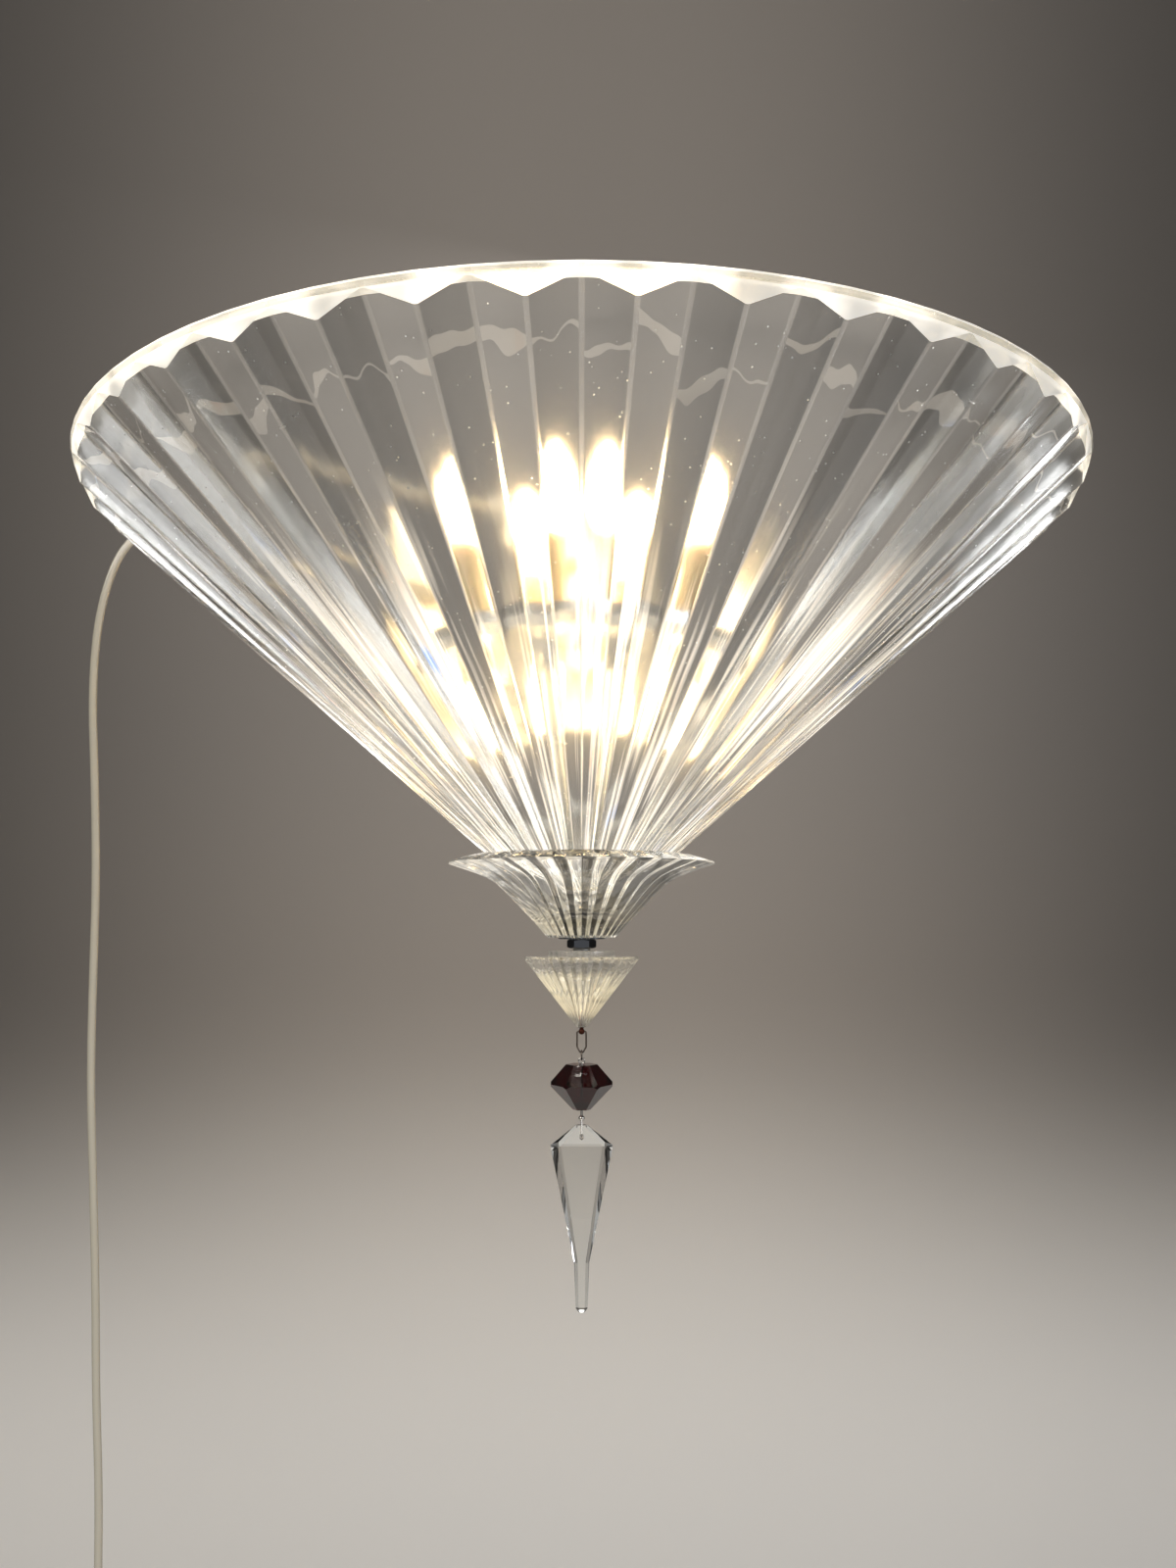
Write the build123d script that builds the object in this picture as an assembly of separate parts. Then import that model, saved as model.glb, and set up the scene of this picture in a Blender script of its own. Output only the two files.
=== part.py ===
from build123d import *

import math
import os

# Crystal wall sconce: a fluted cone of thick glass, sliced flat behind, with a
# flared dish, a small cone and a cut-glass pendant below it, carried on a steel
# plate by an arm and a threaded rod. All sizes in millimetres.
#
# Frame: origin at the middle of the plate's back face, on the wall. +Z up,
# +X to the right seen from the front, and the object stands out along -Y.

# ---------------------------------------------------------------- wall plate
PLATE_WIDTH = 160.0
PLATE_HEIGHT = 148.0
PLATE_THICK = 2.5
PLATE_CORNER = 6.0
WALL_HOLE_X = 136.0          # spacing of the four wall-screw holes
WALL_HOLE_Z = 124.0
WALL_HOLE_R = 2.75

# ------------------------------------------------------------- axis and rod
AXIS_OFF = 80.0              # the vertical axis of all the glass, off the wall
AXIS_Y = -AXIS_OFF
ROD_R = 5.0                  # M10 x 1 threaded rod
ROD_BORE_R = 3.0             # hollow for the lamp wires
ROD_CLEAR = 0.2              # round the rod in every hole that it passes
ROD_HOLE_R = ROD_R + ROD_CLEAR
NUT_FLATS = 14.0
NUT_HEIGHT = 5.0
ROD_OVER = 4.0               # thread that shows past the top nut
ROD_PLUG = 4.0               # solid length at the rod's closed foot
ROD_END_GAP = 0.5            # between the rod's foot and the cone's socket
WASHER_R = 13.0
WASHER_THICK = 1.0
GASKET_R = 13.0
GASKET_THICK = 1.5

# --------------------------------------------------------------- glass shade
FLUTES = 41                  # ridges in the full circle
APEX_Z = -202.0              # where the ridge lines would meet
VALLEY_SHARE = 0.98          # a valley's radius as a share of its ridge's
SHADE_BASE_Z = -185.5
SHADE_FLOOR = 12.0           # glass under the inner clamp
SHADE_WALL = 11.0            # level thickness of the wall at a valley
RIM_TOP_Z = 37.0
RIM_TOP_R = 263.0            # smooth top edge of the ground rim band
RIM_OVERRUN = 9.2            # the ridges, carried on to its height, would pass it by this
RIM_FLARE = 3.7              # outward lean of the band over its height
RIM_BAND_DROP = 11.5         # height of the band at a ridge
RIM_CHAMFER = 1.2
RIM_INNER_CHAMFER = 1.0
BACK_GAP = 1.0               # the sliced back stands this far off the wall

# ----------------------------------------------------------------- arm, tray
ARM_WIDTH = 40.0
ARM_THICK = 5.0
ARM_TOP_Z = -41.0
ARM_LEG = 29.0               # height of the leg on the plate
ARM_NOSE = 20.0              # reach of the arm past the rod
ARM_CORNER = 6.0
GUSSET_THICK = 5.0
GUSSET_REACH = 50.0
ARM_SCREW_X = 24.0           # spacing of the two arm screws
ARM_SCREW_R = 2.5
SCREW_HEAD_R = 4.75
SCREW_HEAD = 3.0
SCREW_CLEAR = 0.2
SCREW_HEAD_EASE = 1.2
SCREW_END_GAP = 0.3          # screw ends short of the wall
TRAY_R = 68.0
TRAY_THICK = 1.5
TRAY_LIP = 11.0
TRAY_CORNER = 5.0            # slope between the tray's floor and its lip

# --------------------------------------------------------------------- lamps
LAMPS = 3
LAMP_INSET = 22.0            # from the tray's edge to a lamp's middle
LAMP_CIRCLE = TRAY_R - LAMP_INSET
SLEEVE_R = 11.0
SLEEVE_WALL = 1.0
SLEEVE_HEIGHT = 55.0
HOLDER_R = 9.7
HOLDER_SINK = 3.0            # holder's top below the sleeve's top
CAP_R = 6.9                  # E14 lamp cap
CAP_LENGTH = 22.0
CAP_CLEAR = 0.3
BULB_R = 15.5
BULB_TIP_R = 1.4
BULB_HEIGHT = 52.0
BULB_NECK_R = 6.9
BULB_BELLY = 0.42            # height of the widest place, as a share
BULB_FLARE = (0.84, 0.45)    # a point between neck and belly: shares of radius, height
BULB_TAPER = (0.66, 0.64)    # a point between belly and tip
CAPSULES = 2                 # small lamps that hang under the tray
CAPSULE_HOLDER_R = 9.0
CAPSULE_GAP = 7.0            # between a lower holder and the arm
CAPSULE_CIRCLE = ARM_WIDTH / 2 + CAPSULE_GAP + CAPSULE_HOLDER_R
CAPSULE_HOLDER = 12.0
CAPSULE_HOLDER_EASE = 1.5
CAPSULE_R = 7.0
CAPSULE_DOME = 0.9           # share of the radius that the end is rounded by
CAPSULE_LENGTH = 36.0

# ------------------------------------------------------------- terminal box
BOX_LEFT = -76.0
BOX_WIDTH = 52.0
BOX_BOTTOM = 24.0
BOX_HEIGHT = 46.0
BOX_DEPTH = 27.5
BOX_WALL = 1.2
BOX_CORNER = 4.0
BLOCK_SIZE = (24.0, 15.0, 17.0)
BLOCK_POLES = 2
BLOCK_IN = 29.0              # block's middle from the box's left side
BLOCK_WIRE_R = 2.0
LINER = 1.5                  # insulating pad under the terminal block
LINER_EDGE = 3.0             # pad that shows round the block
GLAND_Z = 52.0
GLAND_Y = -14.0
GLAND_R = 7.0
GLAND_NUT = 6.0
GLAND_BODY_R = 5.5
GLAND_MOUTH_R = 3.4          # thin end, just over the cord
GLAND_NECK = 2.0             # inside the box's wall
GLAND_CLEAR = 0.1
GLAND_LENGTH = 14.0

# ---------------------------------------------------------------- lower dish
DISH_FLUTES = 30
DISH_BASE_Z = -201.4
DISH_BASE_R = 20.0
DISH_KNEE_Z = -171.6         # straight flank up to here, then it flares
DISH_KNEE_R = 47.5
DISH_FLARE_Z = -166.3
DISH_FLARE_R = 58.3
DISH_TIP_Z = -160.8
DISH_TIP_R = 74.0
DISH_VALLEY_SHARE = 0.94
DISH_MOUTH_GAP = 8.2         # mouth's edge off the shade's ridges
DISH_MOUTH_EASE = 1.2
DISH_LAND = 0.3              # flat left at the mouth's top
DISH_LIP_STEP = 0.6
DISH_MOUTH_Z = -156.5
DISH_WELL_GAP = 5.2          # the well's wall off the shade's neck

# --------------------------------------------------- spacer disc, small cone
DISC_R = 18.5
DISC_THICK = 3.3
DISC_GAP = 1.2               # under the nut
CONE_FLUTES = 30
CONE_TOP_R = 32.0
CONE_TIP_R = 3.1
CONE_HEIGHT = 39.0
CONE_VALLEY_SHARE = 0.93
CONE_CHAMFER = 1.2
CONE_SOCKET = 6.0            # depth of the rod's end in the cone
PIN_R = 1.8
PIN_CLEAR = 0.1
PIN_NECK_R = 1.1
PIN_PROUD = 0.2              # pin below the cone's tip

# ------------------------------------------------------------------- pendant
EYE_R = 1.75                 # balls with a cross hole, on the pins' ends
EYE_HOLE_R = 0.75
EYE_DROP = 2.4               # from the cone's tip to the ball's middle
WIRE_R = 0.45
WIRE_PLAY = 0.15
LINK_HALF = 2.5
LINK_LENGTH = 11.5
LINK_CORNER = 0.8
LINK_POINT = 3.0             # height of the narrowing at the foot
LINK_FOOT_HALF = 0.9
RING_R = 2.6
LOOP_R = 1.6                 # loop on top of the bead's pin
BEAD_HEIGHT = 25.0
BEAD_GIRDLE_DROP = 11.0
BEAD_R = 18.25               # across the girdle's corners
BEAD_SIDES = 6
BEAD_TABLE_R = 7.5
BEAD_CULET_R = 4.2
BEAD_BREAK_R = 17.0          # small upright facets at the girdle's corners
BEAD_BREAK_RISE = 1.6        # where the small facets above them start
BEAD_BREAK_LEAN = 0.92       # those are this much steeper than the broad ones
BEAD_NECK = 0.3              # between the loop and the bead
BEAD_HOLE_R = 0.8
STEM_LAP = 0.1               # the stem runs this far into its loop
HOOK_TOP_HALF = 2.5
HOOK_FOOT_HALF = 5.0
HOOK_LENGTH = 10.2
HOOK_SQUARE = 2.4            # height of its upright sides at the foot
HOOK_CORNER = 0.7
HOOK_EYE_DROP = 4.9          # from the bead's foot to the lower ball
DROP_HOLE_R = 1.2
DROP_TOP = 6.6               # above the hole
DROP_TOP_HALF = 3.0
DROP_SHOULDER = 4.6          # below the hole
DROP_HALF_WIDTH = 17.3
DROP_TAIL = 69.0
DROP_TAIL_HALF = 4.2
DROP_LENGTH = 96.5           # hole to tip
DROP_TIP_HALF = 3.2
DROP_THICK = 8.0
DROP_TAIL_THICK = 6.0
DROP_BEVEL = 5.6             # width of the side bevels at the shoulder
DROP_EDGE = 1.6              # thickness of the edge between the bevels
DROP_TOP_THICK = 4.4
DROP_TOP_BEVEL = 1.4
DROP_TAIL_BEVEL = 1.9
DROP_TIP_RUN = 2.0           # length of the blunt point
DROP_TIP_THICK = 5.2
DROP_TIP_BEVEL = 1.4
DROP_POINT_THICK = 2.4
DROP_POINT_BEVEL = 0.8

# ------------------------------------------------------------- cord and plug
CORD_R = 2.5
CORD_Y = -3.4                # the cord lies against the wall
CORD_ROUTE = [               # chosen by hand: out, over the rim and down
    (-90.0, GLAND_Y, GLAND_Z),
    (-110.0, GLAND_Y, GLAND_Z),
    (-134.0, -11.2, 54.4),
    (-161.0, -5.8, 57.6),
    (-198.0, CORD_Y, 60.2),
    (-238.0, CORD_Y - 0.3, 59.4),
    (-277.5, CORD_Y, 44.0),
    (-294.0, CORD_Y - 0.2, 4.0),
    (-299.4, CORD_Y, -48.0),
    (-297.4, CORD_Y - 0.2, -106.0),
    (-296.6, CORD_Y, -168.0),
    (-298.6, CORD_Y - 0.2, -228.0),
    (-300.2, CORD_Y, -290.0),
    (-298.4, CORD_Y - 0.2, -354.0),
    (-297.0, CORD_Y, -418.0),
    (-296.8, CORD_Y - 0.2, -480.0),
    (-295.0, CORD_Y, -540.0),
    (-295.6, CORD_Y, -594.0),
    (-295.6, CORD_Y, -640.0),
]
COIL_R = 35.0                # of the outermost turn
COIL_PITCH = 6.2             # between turns side by side
COIL_LAYER = 5.8             # between the two layers
COIL_IN = 3                  # half turns in, then one that climbs
COIL_OUT = 2                 # half turns out again
COIL_END = 5.0               # straight ends
TIE_WIDTH = 8.0
TIE_THICK = 0.5
TIE_GAP = 0.35
TAIL_RUN = 46.0              # cord from the coil to the plug
TAIL_LEAN = 1.2              # sideways drift of the tail
TAIL_BENDS = (0.3, 0.68)     # where it bends, as shares of its run
PLUG_WIDTH = 35.0
PLUG_THICK = 13.7
PLUG_LENGTH = 34.0
PLUG_NECK = 18.0
PLUG_NECK_R = 4.6
PLUG_MOUTH_R = 3.3           # where the cord comes out
PLUG_CHAMFER = 3.0
PLUG_PIN_R = 2.0
PLUG_PIN = 19.0
PLUG_PIN_SPACING = 19.0

# ------------------------------------------------------------ inner lead-in
FEED_R = 2.0
FEED_ROUTE = [
    (-44.0, -15.0, BOX_BOTTOM),
    (-44.0, -15.0, 8.0),
    (-40.0, -30.0, -8.0),
    (-36.0, -52.0, -16.0),
    (-36.0, -52.0, ARM_TOP_Z + TRAY_THICK),
]
FEED_BEND = 9.0

# ---------------------------------------------------------- sizes that follow
PAST = 1.0                   # a cutting solid runs past the face that it cuts by this
FLUTE_SLOPE = (RIM_TOP_Z - APEX_Z) / (RIM_TOP_R + RIM_OVERRUN)   # a ridge's rise over its run
ROD_TOP_Z = ARM_TOP_Z + TRAY_THICK + WASHER_THICK + NUT_HEIGHT + ROD_OVER
FLOOR_TOP_Z = SHADE_BASE_Z + SHADE_FLOOR
DISH_WELL_Z = SHADE_BASE_Z - GASKET_THICK
DISH_WELL_R = (SHADE_BASE_Z - APEX_Z) / FLUTE_SLOPE + DISH_WELL_GAP
DISH_MOUTH_R = (DISH_MOUTH_Z - APEX_Z) / FLUTE_SLOPE + DISH_MOUTH_GAP
NUT_TOP_Z = DISH_BASE_Z - WASHER_THICK
DISC_TOP_Z = NUT_TOP_Z - NUT_HEIGHT - DISC_GAP
CONE_TOP_Z = DISC_TOP_Z - DISC_THICK
CONE_TIP_Z = CONE_TOP_Z - CONE_HEIGHT
EYE_Z = CONE_TIP_Z - EYE_DROP
LINK_FOOT_Z = EYE_Z - LINK_LENGTH
WIRE_STEP = 2 * WIRE_R + WIRE_PLAY
RING_Z = LINK_FOOT_Z + WIRE_STEP - RING_R
RING_FOOT_Z = RING_Z - RING_R
LOOP_Z = RING_FOOT_Z + WIRE_STEP - LOOP_R
BEAD_TOP_Z = LOOP_Z - LOOP_R - BEAD_NECK
GIRDLE_Z = BEAD_TOP_Z - BEAD_GIRDLE_DROP
BEAD_FOOT_Z = BEAD_TOP_Z - BEAD_HEIGHT
HOOK_Z = BEAD_FOOT_Z - HOOK_EYE_DROP
DROP_HOLE_Z = HOOK_Z - HOOK_LENGTH
SLEEVE_FOOT_Z = ARM_TOP_Z + TRAY_THICK
SLEEVE_TOP_Z = SLEEVE_FOOT_Z + SLEEVE_HEIGHT
CAPSULE_TOP_Z = ARM_TOP_Z

AXIS = Pos(0, AXIS_Y, 0)
parts = {}


# ------------------------------------------------------------------- helpers
def turned(profile):
    """A solid of revolution about Z, from a closed profile of (radius, height)."""
    line = Polyline(*[(r, 0, z) for r, z in profile], close=True)
    return revolve(make_face(line), axis=Axis.Z)


def tube(radius, bore, low, high):
    """A round bar or tube on Z from low to high, with no hole where bore is 0."""
    bar = Pos(0, 0, (low + high) / 2) * Cylinder(radius, high - low)
    if bore:
        bar -= Pos(0, 0, (low + high) / 2) * Cylinder(bore, high - low + 2 * PAST)
    return bar


def block(low, high):
    """A box between two opposite corners."""
    size = [b - a for a, b in zip(low, high)]
    middle = [(a + b) / 2 for a, b in zip(low, high)]
    return Pos(*middle) * Box(*size)


def hex_nut(low):
    """A plain hexagon nut on the axis, with its hole clear of the rod."""
    across = NUT_FLATS / math.sqrt(3)
    nut = extrude(Pos(0, 0, low) * RegularPolygon(across, 6), NUT_HEIGHT)
    return nut - tube(ROD_HOLE_R, 0, low - PAST, low + NUT_HEIGHT + PAST)


def star(count, ridge, valley, z):
    """A level star-shaped face: ridges and valleys in turn, valley to the front."""
    step = math.pi / count
    points = []
    for i in range(2 * count):
        angle = -math.pi / 2 + i * step
        reach = ridge if i % 2 else valley
        points.append((reach * math.cos(angle), reach * math.sin(angle), z))
    return make_face(Polyline(*points, close=True))


def fluted(count, share, sections):
    """Flat-faced flutes through (ridge radius, height) sections."""
    faces = [star(count, r, r * share, z) for r, z in sections]
    return loft(faces, ruled=True)


def wire_loop(points, radius, corner):
    """A closed ring of round wire through points, with rounded corners."""
    path = FilletPolyline(*points, radius=corner, close=True)
    start = Plane(origin=path @ 0.0, z_dir=path % 0.0)
    return sweep(start * Circle(radius), path=path)


def cord_radii(points):
    """The largest smooth arc for each corner: 0.45 of the shorter run, over tan."""
    radii = []
    for before, here, after in zip(points, points[1:], points[2:]):
        first = Vector(*here) - Vector(*before)
        second = Vector(*after) - Vector(*here)
        half = math.radians(first.get_angle(second)) / 2
        radii.append(0.45 * min(first.length, second.length) / math.tan(half))
    return radii


def cord_along(points, radius, radii):
    """A round cord of straight runs joined by tangent arcs, and its length."""
    path = FilletPolyline(*points, radius=radii)
    start = Plane(origin=path @ 0.0, z_dir=path % 0.0)
    return sweep(start * Circle(radius), path=path), path.length


# ---------------------------------------------------------- plate, arm, tray
def arm_screw_places():
    """Middles of the two screws that hold the arm to the plate."""
    z = ARM_TOP_Z - ARM_THICK - (ARM_LEG - ARM_THICK) / 2
    return [(-ARM_SCREW_X / 2, z), (ARM_SCREW_X / 2, z)]


def along_y(radius, y_low, y_high, x, z):
    """A round bar that lies along Y."""
    bar = Rot(90, 0, 0) * Cylinder(radius, y_high - y_low)
    return Pos(x, (y_low + y_high) / 2, z) * bar


def wall_plate():
    plate = Box(PLATE_WIDTH, PLATE_THICK, PLATE_HEIGHT)
    plate = fillet(plate.edges().filter_by(Axis.Y), PLATE_CORNER)
    plate = Pos(0, -PLATE_THICK / 2, 0) * plate
    for x in (-WALL_HOLE_X / 2, WALL_HOLE_X / 2):
        for z in (-WALL_HOLE_Z / 2, WALL_HOLE_Z / 2):
            plate -= along_y(WALL_HOLE_R, -PLATE_THICK - PAST, PAST, x, z)
    for x, z in arm_screw_places():
        hole = ARM_SCREW_R + SCREW_CLEAR
        plate -= along_y(hole, -PLATE_THICK - PAST, PAST, x, z)
    return plate


def support_arm():
    half = ARM_WIDTH / 2
    back = -PLATE_THICK
    nose = AXIS_Y - ARM_NOSE
    shelf = block((-half, nose, ARM_TOP_Z - ARM_THICK), (half, back, ARM_TOP_Z))
    shelf = fillet(shelf.edges().filter_by(Axis.Z).group_by(Axis.Y)[0], ARM_CORNER)
    leg = block(
        (-half, back - ARM_THICK, ARM_TOP_Z - ARM_LEG), (half, back, ARM_TOP_Z)
    )
    web_top = ARM_TOP_Z - ARM_THICK
    web_back = back - ARM_THICK
    web = make_face(
        Polyline(
            (-GUSSET_THICK / 2, web_back, web_top),
            (-GUSSET_THICK / 2, web_back - GUSSET_REACH, web_top),
            (-GUSSET_THICK / 2, web_back, ARM_TOP_Z - ARM_LEG),
            close=True,
        )
    )
    arm = shelf + leg + extrude(web, GUSSET_THICK, dir=(1, 0, 0))
    arm -= AXIS * tube(ROD_HOLE_R, 0, ARM_TOP_Z - 2 * ARM_THICK, ARM_TOP_Z + PAST)
    for x, z in arm_screw_places():
        hole = ARM_SCREW_R + SCREW_CLEAR
        arm -= along_y(hole, back - ARM_THICK - PAST, back + PAST, x, z)
    return arm


def arm_screws():
    face = -PLATE_THICK - ARM_THICK
    screws = []
    for x, z in arm_screw_places():
        head = along_y(SCREW_HEAD_R, face - SCREW_HEAD, face, x, z)
        head = fillet(head.edges().group_by(Axis.Y)[0], SCREW_HEAD_EASE)
        screws.append(head + along_y(ARM_SCREW_R, face, -SCREW_END_GAP, x, z))
    return Compound(screws)


def lamp_places():
    """Centres of the upright lamps: one at the back, the others in front."""
    turn = 2 * math.pi / LAMPS
    angles = [math.pi / 2 + i * turn for i in range(LAMPS)]
    return [
        (LAMP_CIRCLE * math.cos(a), AXIS_Y + LAMP_CIRCLE * math.sin(a))
        for a in angles
    ]


def capsule_places():
    """Centres of the small lamps that hang under the tray, left and right."""
    turn = 2 * math.pi / CAPSULES
    return [
        (CAPSULE_CIRCLE * math.cos(i * turn), AXIS_Y + CAPSULE_CIRCLE * math.sin(i * turn))
        for i in range(CAPSULES)
    ]


def lamp_tray():
    low = ARM_TOP_Z
    inner = TRAY_R - TRAY_THICK
    corner = TRAY_CORNER + TRAY_THICK * math.tan(math.pi / 8)
    tray = turned(
        [
            (0, low),
            (TRAY_R - TRAY_CORNER, low),
            (TRAY_R, low + TRAY_CORNER),
            (TRAY_R, low + TRAY_LIP),
            (inner, low + TRAY_LIP),
            (inner, low + corner),
            (TRAY_R - corner, low + TRAY_THICK),
            (0, low + TRAY_THICK),
        ]
    )
    return AXIS * (tray - tube(ROD_HOLE_R, 0, low - PAST, low + TRAY_THICK + PAST))


# --------------------------------------------------------------------- lamps
def candle_sleeve(x, y):
    bore = SLEEVE_R - SLEEVE_WALL
    return Pos(x, y, 0) * tube(SLEEVE_R, bore, SLEEVE_FOOT_Z, SLEEVE_TOP_Z)


def lamp_holder(x, y):
    top = SLEEVE_TOP_Z - HOLDER_SINK
    holder = tube(HOLDER_R, 0, SLEEVE_FOOT_Z, top)
    socket = CAP_R + CAP_CLEAR
    return Pos(x, y, 0) * (holder - tube(socket, 0, top - CAP_LENGTH - CAP_CLEAR, top + PAST))


def bulb_cap(x, y):
    top = SLEEVE_TOP_Z - HOLDER_SINK
    return Pos(x, y, 0) * tube(CAP_R, 0, top - CAP_LENGTH, top)


def candle_bulb(x, y):
    """A flame-shaped envelope, turned from two arcs with a small blunt tip."""
    foot = SLEEVE_TOP_Z - HOLDER_SINK
    wide = foot + BULB_BELLY * BULB_HEIGHT
    top = foot + BULB_HEIGHT
    outline = [
        Line((0, 0, foot), (BULB_NECK_R, 0, foot)),
        ThreePointArc(
            (BULB_NECK_R, 0, foot),
            (BULB_FLARE[0] * BULB_R, 0, foot + BULB_FLARE[1] * (wide - foot)),
            (BULB_R, 0, wide),
        ),
        ThreePointArc(
            (BULB_R, 0, wide),
            (BULB_TAPER[0] * BULB_R, 0, wide + BULB_TAPER[1] * (top - wide)),
            (BULB_TIP_R, 0, top - BULB_TIP_R / 2),
        ),
        Line((BULB_TIP_R, 0, top - BULB_TIP_R / 2), (0, 0, top)),
        Line((0, 0, top), (0, 0, foot)),
    ]
    return Pos(x, y, 0) * revolve(make_face(outline), axis=Axis.Z)


def capsule_holder(x, y):
    low = CAPSULE_TOP_Z - CAPSULE_HOLDER
    holder = tube(CAPSULE_HOLDER_R, 0, low, CAPSULE_TOP_Z)
    return Pos(x, y, 0) * chamfer(holder.edges().group_by(Axis.Z)[0], CAPSULE_HOLDER_EASE)


def capsule_lamp(x, y):
    top = CAPSULE_TOP_Z - CAPSULE_HOLDER
    lamp = tube(CAPSULE_R, 0, top - CAPSULE_LENGTH, top)
    return Pos(x, y, 0) * fillet(lamp.edges().group_by(Axis.Z)[0], CAPSULE_R * CAPSULE_DOME)


# -------------------------------------------------------------- terminal box
def terminal_cover():
    low = (BOX_LEFT, -PLATE_THICK - BOX_DEPTH, BOX_BOTTOM)
    high = (BOX_LEFT + BOX_WIDTH, -PLATE_THICK, BOX_BOTTOM + BOX_HEIGHT)
    case = block(low, high)
    case = fillet(case.edges().filter_by(Axis.Y), BOX_CORNER)
    room_low = (low[0] + BOX_WALL, low[1] + BOX_WALL, low[2] + BOX_WALL)
    room_high = (high[0] - BOX_WALL, high[1] + PAST, high[2] - BOX_WALL)
    room = block(room_low, room_high)
    room = fillet(room.edges().filter_by(Axis.Y), BOX_CORNER - BOX_WALL)
    hole = Pos(BOX_LEFT, GLAND_Y, GLAND_Z) * Rot(0, 90, 0) * Cylinder(
        GLAND_BODY_R + GLAND_CLEAR, 4 * BOX_WALL
    )
    return case - room - hole


def terminal_block():
    width, depth, height = BLOCK_SIZE
    x = BOX_LEFT + BLOCK_IN
    z = BOX_BOTTOM + BOX_HEIGHT / 2
    back = -PLATE_THICK - LINER
    body = block(
        (x - width / 2, back - depth, z - height / 2), (x + width / 2, back, z + height / 2)
    )
    pitch = width / BLOCK_POLES
    for i in range(BLOCK_POLES):
        at = x - width / 2 + (i + 0.5) * pitch
        body -= Pos(at, back - depth / 2, z) * Cylinder(BLOCK_WIRE_R, height + 2 * PAST)
        body -= along_y(BLOCK_WIRE_R, back - depth - PAST, back - depth / 2, at, z)
    return body


def terminal_liner():
    width, _, height = BLOCK_SIZE
    x = BOX_LEFT + BLOCK_IN
    z = BOX_BOTTOM + BOX_HEIGHT / 2
    return block(
        (x - width / 2 - LINER_EDGE, -PLATE_THICK - LINER, z - height / 2 - LINER_EDGE),
        (x + width / 2 + LINER_EDGE, -PLATE_THICK, z + height / 2 + LINER_EDGE),
    )


def cable_gland():
    """A hexagon collar outside the box and a tapered sleeve for the cord."""
    base = (Align.CENTER, Align.CENTER, Align.MIN)
    nut = extrude(RegularPolygon(GLAND_R, 6), GLAND_NUT)
    sleeve = Cone(GLAND_BODY_R, GLAND_MOUTH_R, GLAND_LENGTH - GLAND_NUT, align=base)
    neck = Cylinder(GLAND_BODY_R, BOX_WALL + GLAND_NECK, align=base)
    body = nut + Pos(0, 0, GLAND_NUT) * sleeve + Pos(0, 0, -BOX_WALL - GLAND_NECK) * neck
    return Pos(BOX_LEFT, GLAND_Y, GLAND_Z) * Rot(0, -90, 0) * body


def feed_cable():
    bends = [FEED_BEND] * (len(FEED_ROUTE) - 2)
    shape, _ = cord_along(FEED_ROUTE, FEED_R, bends)
    return shape


# --------------------------------------------------------------------- glass
def ridge_radius(z):
    """Radius of the shade's ridges at a height."""
    return (z - APEX_Z) / FLUTE_SLOPE


def inner_radius(z):
    """Radius of the shade's smooth inside at a height."""
    return VALLEY_SHARE * ridge_radius(z) - SHADE_WALL


def glass_shade():
    """Fluted outside, smooth inside, ground rim band, sliced flat at the back."""
    sections = [(ridge_radius(z), z) for z in (SHADE_BASE_Z, RIM_TOP_Z)]
    body = fluted(FLUTES, VALLEY_SHARE, sections)
    lean = -RIM_FLARE / RIM_BAND_DROP
    low = RIM_TOP_Z - 2 * RIM_BAND_DROP
    far = ridge_radius(RIM_TOP_Z) + PAST
    ring = turned(
        [
            (RIM_TOP_R + lean * 2 * RIM_BAND_DROP, low),
            (far, low),
            (far, RIM_TOP_Z + PAST),
            (RIM_TOP_R - RIM_CHAMFER, RIM_TOP_Z + PAST),
            (RIM_TOP_R - RIM_CHAMFER, RIM_TOP_Z),
            (RIM_TOP_R + lean * RIM_CHAMFER, RIM_TOP_Z - RIM_CHAMFER),
        ]
    )
    throat = RIM_TOP_Z - RIM_INNER_CHAMFER
    edge = inner_radius(throat) + 2 * RIM_INNER_CHAMFER
    room = turned(
        [
            (0, FLOOR_TOP_Z),
            (inner_radius(FLOOR_TOP_Z), FLOOR_TOP_Z),
            (inner_radius(throat), throat),
            (edge, RIM_TOP_Z),
            (edge, RIM_TOP_Z + PAST),
            (0, RIM_TOP_Z + PAST),
        ]
    )
    body = body - ring - room - tube(ROD_HOLE_R, 0, SHADE_BASE_Z - PAST, FLOOR_TOP_Z + PAST)
    body = AXIS * body
    behind = block((-far, -BACK_GAP, APEX_Z), (far, far, RIM_TOP_Z + PAST))
    return body - behind


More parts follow.
